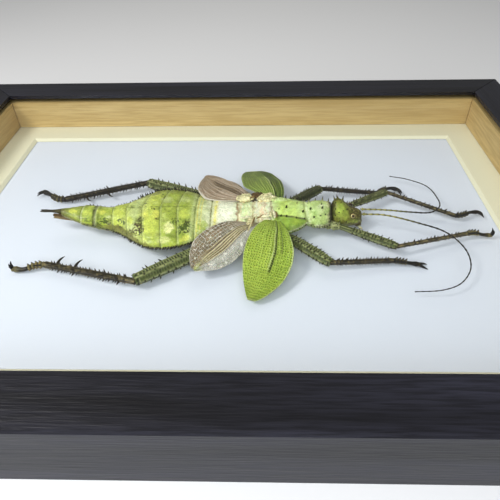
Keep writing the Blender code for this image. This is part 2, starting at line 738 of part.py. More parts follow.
def feeler_radius(s):
    """Thick at the scape, then tapering evenly to the tip."""
    base, middle, tip = FEELER_R
    return base + (middle - base) * s * 2 if s < 0.5 else middle + (tip - middle) * (s * 2 - 1)


def build_feelers(group, specimen):
    for side, route in FEELER_ROUTES.items():
        path = smooth_path(route, FEELER_LENGTHS * FEELER_POINTS)
        for part in range(FEELER_LENGTHS):
            first = part * FEELER_POINTS
            points = path[first:first + FEELER_POINTS]
            if part:
                joint = path[first - 1]
                points = [joint + (points[0] - joint).normalized() * GAP, *points]
            radii = [feeler_radius((first + i) / len(path)) for i in range(len(points))]
            if part == 0:
                ahead = (points[1] - points[0]).normalized() * SCAPE_L
                points = [points[0] + ahead * s for s, _ in SCAPE_PROFILE] + points[2:]
                radii = [SCAPE_R * share for _, share in SCAPE_PROFILE] + radii[2:]
            name = "antenna_" + side + "_" + str(part + 1)
            add_object(name, tube(name, points, radii, 8), "feeler", group, specimen)


def thigh_mesh(leg, pair, inward, bodies):
    """Coxa, trochanter and femur, cut clear of the trunk that they grow from."""
    inside, hip, knee, ankle = (Vector(p) for p in leg[:4])
    coxa_r, neck_r, thigh_r, knee_r = LEG_RADII[pair][:4]
    coxa = hip - inside
    thigh = knee - hip
    inset = frame_at(thigh)[0] * inward * THIGH_INSET[pair]
    rings = [
        ring_across(inside, coxa, coxa_r, THIGH_SIDES),
        ring_across(inside + coxa * 0.8, coxa, coxa_r, THIGH_SIDES),
        ring_across(hip, coxa + thigh, neck_r, THIGH_SIDES),
        ring_across(hip + thigh * 0.1, thigh, neck_r, THIGH_SIDES, THIGH_RIDGE),
    ]
    for s, share in THIGH_PROFILE[pair]:
        centre = hip + thigh * s + inset
        rings.append(ring_across(centre, thigh, thigh_r * share, THIGH_SIDES, THIGH_RIDGE))
    normal = mitre_normal(thigh, ankle - knee)
    end = ring_across(knee + inset, thigh, knee_r, THIGH_SIDES, THIGH_RIDGE)
    rings.append(mitre(end, thigh, knee - normal * GAP / 2, normal))
    spines = []
    for row, (turn, count) in enumerate(THIGH_ROWS):
        for k in range(count):
            s = THIGH_ROW_START + THIGH_ROW_L * (k + THIGH_ROW_STAGGER * row) / count
            reach = blend_value(THIGH_PROFILE[pair], s, 1) * thigh_r
            spines.append(limb_spine(hip + inset, thigh, s, turn, reach, THIGH_SPINE_L[pair], k))
    thigh_form = combine(loft("thigh", rings), spines, "UNION")
    return combine(thigh_form, bodies, "DIFFERENCE")


def limb_spine(start, limb, s, turn, radius, length, order):
    """A spine on a limb's ridge, leaning along the limb."""
    level, up = frame_at(limb)
    angle = math.radians(turn)
    out = level * math.cos(angle) + up * math.sin(angle)
    root = start + limb * s + out * radius * 0.9
    return spine(root, out + limb.normalized() * LIMB_SPINE_LEAN, length, order)


def shin_mesh(leg, name, inward, foot_start):
    """Tibia, with teeth along both edges and, on the hind pair, two hooked spines inside."""
    hip, knee, ankle = (Vector(p) for p in leg[1:4])
    pair = name.split("_")[0]
    top_r, low_r = LEG_RADII[pair][4:6]
    shin = ankle - knee
    shape = [(s, top_r * share) for s, share in SHIN_TOP]
    shape += [(s, low_r * share) for s, share in SHIN_END]
    rings = [ring_across(knee + shin * s, shin, radius, SHIN_SIDES, SHIN_RIDGE)
             for s, radius in shape]
    bend = mitre_normal(knee - hip, shin)
    rings[0] = mitre(rings[0], shin, knee + bend * GAP / 2, bend)
    bend = mitre_normal(shin, foot_start)
    rings[-1] = mitre(rings[-1], shin, ankle - bend * GAP / 2, bend)
    count, length = SHIN_TEETH[pair]
    added = []
    for row, turn in enumerate((0, 180)):
        for k in range(count):
            s = SHIN_ROW_START + SHIN_ROW_L * (k + row / 2) / count
            radius = top_r + (low_r - top_r) * s
            added.append(limb_spine(knee, shin, s, turn, radius, length, k))
    level, up = frame_at(shin)
    out = (level * inward + up * HOOK_RISE).normalized()
    for s in SHIN_HOOKS.get(name, ()):
        root = knee + shin * s + out * low_r * 0.8
        added.append(hook(root, out, -shin.normalized(), HOOK_L, HOOK_R, HOOK_CURL))
    return combine(loft("shin", rings), added, "UNION")


def foot_path(name, leg):
    return smooth_path((leg[3], *FOOT_BENDS.get(name, ()), leg[4]), FOOT_PLACES + 1)


def foot_mesh(leg, path, foot_r, claw_turn):
    """Four short joints and a long one, a pad, and two hooked claws."""
    knee, ankle, toe = (Vector(p) for p in leg[2:])
    start = path[1] - path[0]
    bend = mitre_normal(ankle - knee, start)
    first = ring_across(ankle, start, foot_r, FOOT_SIDES)
    rings = [mitre(first, start, ankle + bend * GAP / 2, bend)]
    for place, share in FOOT_PROFILE:
        before = path[max(place - 1, 0)]
        after = path[min(place + 1, FOOT_PLACES)]
        rings.append(ring_across(path[place], after - before, foot_r * share, FOOT_SIDES))
    forward = (path[-1] - path[-2]).normalized()
    pieces = [ellipsoid(toe + forward * foot_r * 0.6, (foot_r, foot_r, foot_r * 0.6), 8, 5)]
    level = frame_at(forward)[0]
    start, end = ((forward * w[0] + Vector((0, w[1], w[2]))).normalized() for w in claw_turn[:2])
    spread = math.radians(claw_turn[2])
    for sign in (-1, 1):
        away = start * math.cos(spread) + level * sign * math.sin(spread)
        pieces.append(hook(toe, away, end, CLAW_L, CLAW_R, CLAW_CURL, 3, 4))
    return combine(loft("foot", rings), pieces, "UNION")


def build_legs(group, specimen):
    for name, leg in LEGS.items():
        pair, side = name.split("_")
        bodies = [trunk_node("cut", *row[1:], grow=GAP) for row in TRUNK_NODES[2:]]
        bodies.append(loft("cut", head_rings(GAP)))
        level = frame_at(Vector(leg[2]) - Vector(leg[1]))[0]
        inward = -1 if level.y * leg[2][1] > 0 else 1
        thigh = thigh_mesh(leg, pair, inward, bodies)
        add_object("leg_" + name + "_femur", thigh, "green_leg", group, specimen)
        path = foot_path(name, leg)
        shin = shin_mesh(leg, name, inward, path[1] - path[0])
        add_object("leg_" + name + "_tibia", shin, "brown_leg", group, specimen)
        foot = foot_mesh(leg, path, LEG_RADII[pair][6], CLAW_TURNS[name])
        add_object("leg_" + name + "_tarsus", foot, "dark_foot", group, specimen)


def leaf(s, widest, root_power, tip_power):
    """A wing margin's share of its half width at s from root to tip."""
    if s < widest:
        return math.sin(math.pi / 2 * s / widest) ** root_power
    return math.sin(math.pi / 2 * (1 - s) / (1 - widest)) ** tip_power


def margin(shape, s):
    half, widest, root_power, tip_power = shape
    return WING_ROOT_HALF * (1 - s) ** 2 + half * leaf(s, widest, root_power, tip_power)


def wing_point(wing, droop, root_z, dip, s, t):
    """A point on a wing's upper face: s from root to tip, t from the front margin to the rear."""
    root = Vector(wing["root"])
    axis = Vector(wing["tip"]) - root
    along = axis.normalized()
    back = Vector((-abs(along.y), -abs(along.x)))
    if along.x * along.y > 0:
        back = Vector((-abs(along.y), abs(along.x)))
    reach = margin(wing["rear"] if t > 0 else wing["front"], s) * t
    place = root + axis * s + back * reach
    low = blend_value(droop, abs(place.y), 1)
    if t < 0:
        low -= dip * t * t * min(1.0, s * 4, (1 - s) * 4)
    rise = min(1.0, s / WING_RISE)
    rise = rise * rise * (3 - 2 * rise)
    return Vector((place.x, place.y, root_z + (low - root_z) * rise))


def wing_mesh(wing, droop, root_z, thick, dip, step):
    """A thin curved sheet with veins raised in it: both faces are split into triangles alike."""
    wide = WING_COLUMNS
    columns = [-1 + 2 * c / (wide - 1) for c in range(wide)]
    top = []
    under_side = []
    for k in range(WING_ROWS + 1):
        s = WING_END * math.sin(math.pi / 2 * k / WING_ROWS)
        for c, t in enumerate(columns):
            low = wing_point(wing, droop, root_z, dip, s, t)
            vein = VEIN_H * math.sin(math.pi * s) if c % 2 else 0.0
            ply = step * min(1.0, s * 5) if t > TEGMEN_FOLD else 0.0
            top.append(low + Vector((0, 0, vein + ply)))
            under_side.append(low - Vector((0, 0, thick - ply)))
    points = top + under_side
    under = len(top)
    faces = []
    for r in range(WING_ROWS):
        for c in range(wide - 1):
            a = r * wide + c
            b = a + wide
            for tri in ((a, a + 1, b + 1), (a, b + 1, b)):
                faces.append(tri)
                faces.append(tuple(i + under for i in reversed(tri)))
    rim = list(range(wide))
    rim += [r * wide + wide - 1 for r in range(1, WING_ROWS + 1)]
    rim += [WING_ROWS * wide + c for c in range(wide - 2, -1, -1)]
    rim += [r * wide for r in range(WING_ROWS - 1, 0, -1)]
    for a, b in zip(rim, rim[1:] + rim[:1]):
        faces.append((b, a, a + under))
        faces.append((b, a + under, b + under))
    return mesh_from("wing", points, faces)


def build_wings(group, specimen):
    bodies = [trunk_node("cut", *row[1:], grow=GAP) for row in TRUNK_NODES[2:5]]
    for side in ("left", "right"):
        tegmen = wing_mesh(TEGMEN[side], TEGMEN_DROOP, TEGMEN_ROOT_Z, TEGMEN_T, 0.0, TEGMEN_STEP)
        tegmen = combine(tegmen, bodies, "DIFFERENCE")
        add_object("tegmen_" + side, tegmen, "leaf_wing", group, specimen)
        hindwing = wing_mesh(HINDWING[side], HINDWING_DROOP, HINDWING_ROOT_Z, HINDWING_T,
                             HINDWING_DIP, 0.0)
        hindwing = combine(hindwing, bodies, "DIFFERENCE")
        add_object("hindwing_" + side, hindwing, "grey_wing", group, specimen)


def main():
    clear_scene()
    group = bpy.data.collections.new("jungle_nymph_case")
    bpy.context.scene.collection.children.link(group)
    specimen = bpy.data.objects.new("specimen", None)
    group.objects.link(specimen)
    specimen.location = Vector((0.0, SPECIMEN_Y, CARD_TOP)) * MM
    build_case(group)
    build_trunk(group, specimen)
    build_ovipositor(group, specimen)
    build_head(group, specimen)
    build_feelers(group, specimen)
    build_legs(group, specimen)
    build_wings(group, specimen)


main()
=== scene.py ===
import math

import bpy
import numpy as np
from mathutils import Matrix, Vector, noise


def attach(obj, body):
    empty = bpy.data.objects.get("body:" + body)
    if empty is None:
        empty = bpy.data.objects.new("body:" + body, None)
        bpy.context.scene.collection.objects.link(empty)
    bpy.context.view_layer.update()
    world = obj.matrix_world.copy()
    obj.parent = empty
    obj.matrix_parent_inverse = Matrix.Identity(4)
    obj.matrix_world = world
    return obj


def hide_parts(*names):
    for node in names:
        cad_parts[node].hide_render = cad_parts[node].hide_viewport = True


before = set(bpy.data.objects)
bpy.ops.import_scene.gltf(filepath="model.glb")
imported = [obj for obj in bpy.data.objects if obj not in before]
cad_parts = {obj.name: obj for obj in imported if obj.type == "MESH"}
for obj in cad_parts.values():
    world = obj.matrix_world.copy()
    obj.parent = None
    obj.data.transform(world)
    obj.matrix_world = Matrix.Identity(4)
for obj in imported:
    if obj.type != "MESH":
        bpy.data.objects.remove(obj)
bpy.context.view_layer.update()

# The insect is measured in millimetres in its own frame: x towards the head, y from its middle
# line to its left, z up from the card. SPECIMEN puts that frame in the case.
MM = 0.001
SPECIMEN = Vector((0.0, -5.0, 6.3))
NECK_DRIFT = 1.8
NECK_DRIFT_X = 60.0

# Trunk stations: x, half width, top, height of the widest line, bottom
TRUNK = (
    (-80.0, 1.9, 13.7, 11.9, 9.6), (-74.0, 4.4, 13.9, 11.0, 7.4), (-68.5, 6.7, 14.0, 10.2, 5.6),
    (-63.2, 6.8, 14.0, 8.6, 3.8), (-58.0, 6.7, 13.6, 7.0, 2.4), (-53.0, 8.6, 14.2, 6.8, 1.6),
    (-48.0, 12.2, 14.5, 7.0, 1.3), (-43.4, 16.6, 14.8, 8.0, 1.2), (-38.7, 20.1, 15.0, 8.5, 1.2),
    (-33.9, 21.9, 15.1, 8.8, 1.2), (-29.1, 22.1, 15.1, 8.8, 1.2), (-24.3, 21.5, 15.0, 8.8, 1.2),
    (-19.6, 19.8, 15.0, 8.8, 1.3), (-14.0, 16.5, 14.9, 8.8, 1.5), (-8.6, 13.0, 14.8, 8.8, 1.8),
    (-3.0, 10.4, 14.8, 8.8, 2.0), (3.2, 9.4, 14.9, 8.8, 2.0), (11.0, 9.5, 15.1, 8.8, 2.2),
    (18.7, 10.4, 15.4, 8.6, 2.4), (26.5, 11.0, 15.7, 8.2, 2.8), (32.0, 8.8, 15.8, 8.6, 3.2),
    (35.8, 6.7, 15.8, 9.6, 4.4), (39.0, 7.7, 16.0, 9.0, 3.8), (43.0, 7.6, 16.1, 9.0, 4.0),
    (46.7, 5.8, 15.6, 9.4, 4.6),
)
EDGE_POWER = 1.18
HEAD = (
    (47.0, 4.2, 15.0, 10.0, 6.2), (48.2, 5.2, 17.4, 10.2, 5.2), (50.2, 5.9, 17.7, 10.0, 4.4),
    (52.2, 6.2, 16.4, 9.4, 3.9), (54.2, 6.1, 14.6, 8.8, 3.6), (56.2, 5.6, 13.1, 8.2, 3.6),
    (58.2, 4.8, 12.1, 7.6, 3.8), (60.0, 3.8, 11.4, 7.4, 4.4), (61.2, 2.7, 10.4, 7.2, 5.2),
)

# Seams across the trunk: x on the back, depth, how far the plate behind steps down, and how far
# forward the seam runs at the edges
SEAMS = (
    (-70.0, 0.25, 0.15, 0.0), (-63.0, 0.4, 0.3, 0.0), (-55.2, 0.25, 0.25, 0.3),
    (-48.8, 0.2, 0.25, 1.9), (-41.3, 0.2, 0.38, 3.0), (-32.9, 0.2, 0.34, 2.9),
    (-24.9, 0.2, 0.34, 2.3), (-16.0, 0.3, 0.25, 0.4), (-8.6, 0.3, 0.25, 0.0),
    (3.2, 0.4, 0.2, 0.0), (10.4, 0.3, 0.15, 0.8), (18.7, 0.5, 0.25, 1.0),
    (35.8, 0.6, 0.35, 0.0), (37.6, 0.25, 0.1, 0.0),
)

# Legs: joints from the body out, then the toe
LEGS = {
    "fore_right": ((43.4, -3.4, 7.2), (50.6, -5.4, 7.2), (74.2, -19.3, 7.0), (108.6, -7.1, 4.2),
                   (120.5, -6.3, 2.6)),
    "fore_left": ((43.4, 5.2, 7.2), (51.0, 7.4, 7.2), (77.4, 22.6, 7.0), (107.9, 6.6, 4.2),
                  (120.2, 11.1, 3.0)),
    "mid_right": ((21.0, -4.6, 6.6), (24.6, -9.8, 6.2), (44.1, -27.9, 5.2), (72.2, -24.1, 3.0),
                  (83.0, -25.3, 1.9)),
    "mid_left": ((21.0, 5.2, 6.8), (24.6, 10.6, 6.6), (44.4, 26.6, 6.6), (74.2, 27.0, 3.4),
                 (85.0, 30.7, 3.2)),
    "hind_right": ((7.0, -6.0, 6.6), (1.6, -12.4, 6.0), (-38.3, -39.3, 5.0), (-81.9, -26.9, 3.2),
                   (-95.4, -28.5, 1.9)),
    "hind_left": ((7.0, 6.0, 6.6), (1.6, 12.4, 6.2), (-45.0, 34.7, 5.6), (-88.0, 22.9, 3.0),
                  (-102.1, 31.1, 2.2)),
}
FOOT_BENDS = {
    "fore_right": ((112.6, -6.2, 4.0), (116.9, -6.3, 3.0)),
    "fore_left": ((111.3, 7.5, 3.8), (116.2, 10.3, 3.4)),
    "mid_left": ((78.7, 30.4, 3.4), (82.0, 31.5, 3.4)),
    "hind_right": ((-86.0, -27.3, 2.8), (-91.0, -28.9, 2.0)),
    "hind_left": ((-92.4, 24.0, 2.6), (-97.5, 28.0, 2.4)),
}
# Each pair's radii: coxa, trochanter, thigh, knee, shin at the knee, shin at the ankle, foot
LEG_RADII = {
    "fore": (2.1, 1.5, 2.1, 1.6, 1.05, 0.9, 0.92),
    "mid": (2.5, 1.9, 2.8, 2.1, 1.25, 1.0, 1.0),
    "hind": (2.9, 2.3, 3.5, 2.7, 1.6, 1.35, 1.2),
}
THIGH_INSET = {"fore": 0.0, "mid": 0.0, "hind": 0.9}
THIGH_PROFILE = {
    "fore": ((0.1, 0.7), (0.24, 0.8), (0.5, 0.95), (0.75, 1.0), (0.92, 0.95)),
    "mid": ((0.1, 0.7), (0.24, 0.9), (0.5, 1.0), (0.75, 1.0), (0.92, 0.9)),
    "hind": ((0.1, 0.7), (0.24, 0.94), (0.5, 1.0), (0.75, 0.97), (0.92, 0.86)),
}

# Wings: root, tip, and each margin's half width, place of the widest part and fullness
TEGMEN = {
    "right": {"root": (20.6, -4.4), "tip": (9.3, -48.8),
              "rear": (7.4, 0.5, 0.8, 0.8), "front": (13.2, 0.55, 1.15, 0.6)},
    "left": {"root": (19.4, 6.2), "tip": (9.6, 49.2),
             "rear": (9.9, 0.4, 2.1, 0.3), "front": (9.5, 0.65, 0.4, 0.3)},
}
TEGMEN_SHAPE = {
    "root_z": 12.4, "dip": 0.0, "step": 0.45, "fold": -0.4,
    "droop": ((5.0, 14.2), (12.0, 14.0), (20.0, 12.6), (28.0, 10.6), (36.0, 7.6), (50.0, 2.6)),
}
HINDWING = {
    "right": {"root": (12.4, -8.2), "tip": (-14.4, -35.4),
              "rear": (10.9, 0.68, 0.92, 0.66), "front": (6.9, 0.55, 1.45, 1.0)},
    "left": {"root": (10.8, 8.4), "tip": (-16.1, 40.0),
             "rear": (18.2, 0.36, 1.7, 0.95), "front": (9.0, 0.68, 2.1, 0.7)},
}
HINDWING_SHAPE = {
    "root_z": 11.6, "dip": 2.6, "step": 0.0, "fold": -0.4,
    "droop": ((8.0, 14.9), (13.0, 14.6), (18.0, 13.2), (24.0, 11.0), (29.0, 9.6), (38.0, 6.6)),
}
WING_ROOT_HALF = 1.8
WING_RISE = 0.34
WING_END = 0.985


def smooth_value(table, x, column):
    """A column of a table of stations, read at every x along a smooth curve through them."""
    rows = np.array(table, float)
    x = np.asarray(x, float)
    last = len(rows) - 1
    i = np.clip(np.searchsorted(rows[:, 0], x, side="left") - 1, 0, last - 1)
    before, a, b, after = (rows[np.clip(i + k, 0, last)] for k in (-1, 0, 1, 2))
    span = b[..., 0] - a[..., 0]
    t = np.clip((x - a[..., 0]) / span, 0, 1)
    va, vb = a[..., column], b[..., column]
    slope_a = (vb - before[..., column]) / (b[..., 0] - before[..., 0]) * span
    slope_b = (after[..., column] - va) / (after[..., 0] - a[..., 0]) * span
    return ((2 * t**3 - 3 * t**2 + 1) * va + (t**3 - 2 * t**2 + t) * slope_a
            + (3 * t**2 - 2 * t**3) * vb + (t**3 - t**2) * slope_b)


def clamp(value):
    return np.clip(value, 0, 1)


def ease(value):
    value = clamp(value)
    return value * value * (3 - 2 * value)


def bell(value, width):
    """1 where value is nought, falling away over width."""
    return np.exp(-(value / width) ** 2)


def rough(points, size, seed):
    """Smooth noise from -1 to 1 at each point, with features of that size in millimetres."""
    flat = np.asarray(points, float).reshape(-1, 3) / size + seed * 7.31
    values = [noise.noise(p) for p in flat]
    return np.array(values).reshape(np.shape(points)[:-1])


def unit(vector):
    return vector / np.linalg.norm(vector)


def circle(count):
    """A full turn in so many even steps."""
    return np.linspace(0, 2 * np.pi, count, endpoint=False)


def middle_y(x):
    return NECK_DRIFT * (np.maximum(x, 0.0) / NECK_DRIFT_X) ** 2


def mix(a, b, share):
    """Colours a and b mixed by a share at each point."""
    share = np.asarray(share, float)[..., None]
    return np.asarray(a) * (1 - share) + np.asarray(b) * share


def layered(colour, layers):
    """A colour with tints laid over it in turn, each by its share at each point."""
    for tint, share in layers:
        colour = mix(colour, tint, share)
    return colour


def add_object(name, data):
    obj = bpy.data.objects.new(name, data)
    bpy.context.scene.collection.objects.link(obj)
    return obj


class Shape:
    """Points, faces and colours gathered from several closed surfaces, made into one mesh."""

    def __init__(self):
        self.points = []
        self.colours = []
        self.flat = []
        self.faces = []
        self.count = 0

    def grid(self, points, colours, flat=None):
        """Rings of points (ring, place, 3), joined ring to ring and closed at both ends."""
        rows, cols = points.shape[:2]
        first = np.arange(rows * cols).reshape(rows, cols) + self.count
        after = np.roll(first, -1, axis=1)
        quads = np.stack([first[:-1], after[:-1], after[1:], first[1:]], -1).reshape(-1, 4)
        self.faces += [*quads.tolist(), first[0][::-1].tolist(), first[-1].tolist()]
        self.points.append(points.reshape(-1, 3))
        self.colours.append(np.broadcast_to(colours, points.shape).reshape(-1, 3))
        self.flat.append((np.zeros_like(points) if flat is None else flat).reshape(-1, 3))
        self.count += rows * cols

    def make(self, name, finish, replaced=()):
        mesh = bpy.data.meshes.new(name)
        points = (np.concatenate(self.points) + np.array(SPECIMEN)) * MM
        mesh.from_pydata(points.tolist(), [], self.faces)
        colour = mesh.color_attributes.new("tint", "FLOAT_COLOR", "POINT")
        rgba = np.ones((len(points), 4), np.float32)
        rgba[:, :3] = clamp(np.concatenate(self.colours))
        colour.data.foreach_set("color", rgba.ravel())
        flat = mesh.attributes.new("flat", "FLOAT_VECTOR", "POINT")
        flat.data.foreach_set("vector", np.concatenate(self.flat).astype(np.float32).ravel())
        mesh.validate()
        mesh.shade_smooth()
        mesh.materials.append(finish)
        obj = add_object(name, mesh)
        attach(obj, "root")
        if replaced:
            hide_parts(*replaced)
        return obj


def across(direction):
    """Two unit vectors across a direction: one level, one up."""
    forward = Vector(direction).normalized()
    level = forward.cross(Vector((0, 0, 1))).normalized()
    return np.array(level), np.array(level.cross(forward))


def turned_way(level, up, degrees):
    angle = math.radians(degrees)
    return level * math.cos(angle) + up * math.sin(angle)


def rings_along(path, radii, sides, flatten=1.0):
    """Rings of points round each point of a path. Radii may differ round each ring."""
    path = np.asarray(path, float)
    turn = circle(sides)
    radii = np.broadcast_to(np.asarray(radii, float).reshape(len(path), -1), (len(path), sides))
    rings = np.zeros((len(path), sides, 3))
    for i, (centre, ahead) in enumerate(zip(path, np.gradient(path, axis=0))):
        level, up = across(ahead)
        rings[i] = (centre + np.outer(radii[i] * np.cos(turn), level)
                    + np.outer(radii[i] * flatten * np.sin(turn), up))
    return rings


def ways_out(rings, path):
    """The way out from a path's middle line at each point of its rings."""
    out = rings - path[:, None, :]
    return out / np.linalg.norm(out, axis=-1, keepdims=True)


def smooth_path(route, count):
    """Points at even steps of a smooth curve through a route's own points."""
    route = np.array(route, float)
    places = np.concatenate([[0], np.cumsum(np.linalg.norm(np.diff(route, axis=0), axis=1))])
    table = np.c_[places, route]
    steps = np.linspace(0, places[-1], count)
    return np.stack([smooth_value(table, steps, c) for c in (1, 2, 3)], -1)


def outline(stations, x, turn):
    """The plain outline of trunk or head at x and turn, and the way out of it there."""
    half, top, side, low = (smooth_value(stations, x, c) for c in (1, 2, 3, 4))
    rise = np.sin(turn)
    reach = np.where(rise > 0, top - side, side - low)
    z = side + np.sign(rise) * reach * np.abs(rise) ** EDGE_POWER
    y = middle_y(x) + half * np.cos(turn)
    out = np.stack([np.zeros_like(z), np.cos(turn) / half, np.sin(turn) / reach], -1)
    out /= np.linalg.norm(out, axis=-1, keepdims=True)
    return np.stack([np.broadcast_to(x, z.shape), y, z], -1), out


def outline_point(stations, x, degrees):
    point, out = outline(stations, np.array([x]), np.array([math.radians(degrees)]))
    return point[0], out[0]


SPINE_SINK = 0.5
SPINE_STEPS = 5
SPINE_SIDES = 6
HOOK_STEPS = 12
HOOK_SIDES = 8
TIP_R = 0.02
HOOK_TIP_R = 0.03


def add_spine(shape, root, direction, length, radius, base, tip):
    """A tapering spine on a shape, its root sunk in."""
    direction = np.array(Vector(direction).normalized())
    share = np.linspace(0, 1, SPINE_STEPS)
    path = np.array(root) + np.outer(share * (length + SPINE_SINK) - SPINE_SINK, direction)
    rings = rings_along(path, radius * (1 - share) ** 0.8 + TIP_R, SPINE_SIDES)
    shape.grid(rings, mix(base, tip, ease(share * 1.6 - 0.1))[:, None, :])


def add_hook(shape, root, direction, towards, length, radius, curl, base, tip):
    """A claw or hook on a shape that curls from its first direction towards another."""
    direction, towards = (np.array(Vector(v).normalized()) for v in (direction, towards))
    share = np.linspace(0, 1, HOOK_STEPS)
    angle = np.radians(curl) * share
    heading = np.outer(np.cos(angle), direction) + np.outer(np.sin(angle), towards)
    steps = (heading[:-1] + heading[1:]) / 2 * length / (len(share) - 1)
    path = np.array(root) + np.concatenate([[-direction * SPINE_SINK], np.cumsum(steps, axis=0)])
    rings = rings_along(path, radius * (1 - share) ** 0.7 + HOOK_TIP_R, HOOK_SIDES)
    shape.grid(rings, mix(base, tip, ease(share * 1.8))[:, None, :])


# Materials

def linear(red, green, blue):
    """A colour given as the eye sees it, from 0 to 255, as linear light."""
    return tuple((c / 255) ** 2.2 for c in (red, green, blue))


class Finish:
    """A node material that is built up step by step."""

    def __init__(self, name):
        self.material = bpy.data.materials.new(name)
        self.material.use_nodes = True
        self.tree = self.material.node_tree
        self.shader = self.tree.nodes["Principled BSDF"]

    def put(self, kind, inputs=(), **settings):
        node = self.tree.nodes.new("ShaderNode" + kind)
        for key, value in settings.items():
            setattr(node, key, value)
        for key, value in dict(inputs).items():
            self.feed(node.inputs[key], value)
        return node

    def feed(self, socket, value):
        if isinstance(value, bpy.types.NodeSocket):
            self.tree.links.new(value, socket)
        else:
            socket.default_value = value

    def painted(self, name, output="Fac"):
        """A value, vector or colour that the mesh has at each of its points."""
        return self.put("Attribute", attribute_name=name).outputs[output]

    def noise(self, scale, detail, where=None):
        """Noise of so many features a metre, or a unit of where."""
        where = where or self.put("TexCoord").outputs["Object"]
        inputs = {"Scale": scale, "Detail": detail, "Vector": where}
        return self.put("TexNoise", inputs).outputs["Fac"]

    def span(self, value, low, high, to_low=0.0, to_high=1.0):
        inputs = {"Value": value, "From Min": low, "From Max": high,
                  "To Min": to_low, "To Max": to_high}
        return self.put("MapRange", inputs).outputs["Result"]

    def blend(self, share, a, b, how="MIX"):
        node = self.put("Mix", data_type="RGBA", blend_type=how)
        for place, value in ((0, share), (6, a), (7, b)):
            if not isinstance(value, bpy.types.NodeSocket) and place:
                value = (*value[:3], 1.0)
            self.feed(node.inputs[place], value)
        return node.outputs[2]

    def tinted(self, colour, by):
        return self.blend(1.0, colour, by, "MULTIPLY")

    def math(self, operation, a, b):
        node = self.put("Math", operation=operation)
        self.feed(node.inputs[0], a)
        self.feed(node.inputs[1], b)
        return node.outputs[0]

    def times(self, a, b):
        return self.math("MULTIPLY", a, b)

    def bump(self, height, distance, strength=1.0):
        inputs = {"Height": height, "Distance": distance, "Strength": strength}
        return self.put("Bump", inputs).outputs["Normal"]

    def finish(self, **inputs):
        for key, value in inputs.items():
            self.feed(self.shader.inputs[key.replace("_", " ")], value)
        return self.material


SKIN_CLOUDS = 420
SKIN_PITS = 1500
SKIN_DARK = (0.45, 0.46, 0.36)
SKIN_LIGHT = (1.3, 1.28, 1.25)
GLOW_DEPTH = 0.001


def skin_finish(name, roughness, mottle, grain=0.00015, coat=0.0, speck=0.6):
    """Chitin whose colour is painted on its points, mottled and pitted finely."""
    look = Finish(name)
    tint = look.painted("tint", "Color")
    broad = look.noise(SKIN_CLOUDS, 4)
    pits = look.noise(SKIN_PITS, 3)
    dark = look.tinted(tint, SKIN_DARK)
    light = look.tinted(tint, SKIN_LIGHT)
    tone = look.blend(look.span(broad, 0.5 - mottle, 0.5 + mottle, 0.25, 1.0), dark, light)
    tone = look.blend(look.span(pits, 0.55, 0.7, 0.0, speck), tone, dark)
    tone = look.blend(look.span(pits, 0.45, 0.32, 0.0, 0.4), tone, light)
    height = look.math("ADD", pits, look.times(broad, 1.5))
    gloss = look.span(pits, 0.3, 0.7, roughness - 0.1, roughness + 0.12)
    return look.finish(Base_Color=tone, Roughness=gloss, Normal=look.bump(height, grain),
                       Coat_Weight=coat, Coat_Roughness=0.25,
                       Subsurface_Weight=0.05, Subsurface_Scale=GLOW_DEPTH)


def wing_finish(name, cells, uneven, thick, net, vein_mix, depth, edge_soft, palest, clear=False):
    """A membrane with a raised net of veins, of so many cells a millimetre.

    uneven is how irregular the cells are, thick how wide their veins are, edge_soft how far a cell's
    painted shade reaches in from its veins, and palest how dark its palest cells are.
    depth is how dark that painted shade of the sunk cells goes; on the hind wing it also gives the
    membrane's own dark cells."""
    look = Finish(name)
    tint = look.painted("tint", "Color")
    flat = look.painted("flat", "Vector")
    meshed = look.painted("net")
    shift = look.put("TexNoise", {"Scale": 0.3, "Vector": flat}).outputs["Color"]
    where = look.blend(1.0, flat, look.tinted(shift, (1.5, 1.5, 0)), "ADD")
    net_inputs = {"Scale": cells, "Vector": where, "Randomness": uneven}
    edge = look.put("TexVoronoi", net_inputs, feature="DISTANCE_TO_EDGE").outputs["Distance"]
    line = look.span(edge, thick / 4, thick, 1.0, 0.0)
    centre = look.span(edge, thick * 0.8, thick * 0.8 + edge_soft)
    tones = look.put("TexVoronoi", net_inputs).outputs["Color"]
    along = look.put("Mapping", {"Vector": flat, "Scale": (0.05, 0.9, 1.0)}).outputs["Vector"]
    streak = look.noise(1.0, 4.0, along)
    deep = look.tinted(tint, (0.46, 0.5, 0.32))
    # Each cell's middle is sunk in the bump and darkened in colour: painted shade in the sunken cell,
    # and on the hind wing also its own dark membrane
    sunk_and_shaded = look.times(look.times(centre, look.span(tones, 0.1, 0.8, palest, 1.0)), meshed)
    tone = look.blend(look.times(sunk_and_shaded, depth), tint, deep)
    tone = look.blend(look.span(streak, 0.52, 0.75, 0.0, 0.22), tone, deep)
    tone = look.blend(look.span(streak, 0.46, 0.3, 0.0, 0.06), tone, net)
    veined = look.times(line, meshed)
    tone = look.blend(look.times(veined, vein_mix), tone, net)
    if clear:
        open_cell = look.times(look.math("SUBTRACT", 1.0, line), look.painted("clear"))
        look.finish(Alpha=look.math("SUBTRACT", 1.0, open_cell))
    return look.finish(Base_Color=tone, Roughness=look.span(line, 0, 1, 0.46, 0.6),
                       Normal=look.bump(look.math("SUBTRACT", veined, sunk_and_shaded), 0.0004),
                       Subsurface_Weight=0.03, Subsurface_Scale=GLOW_DEPTH)


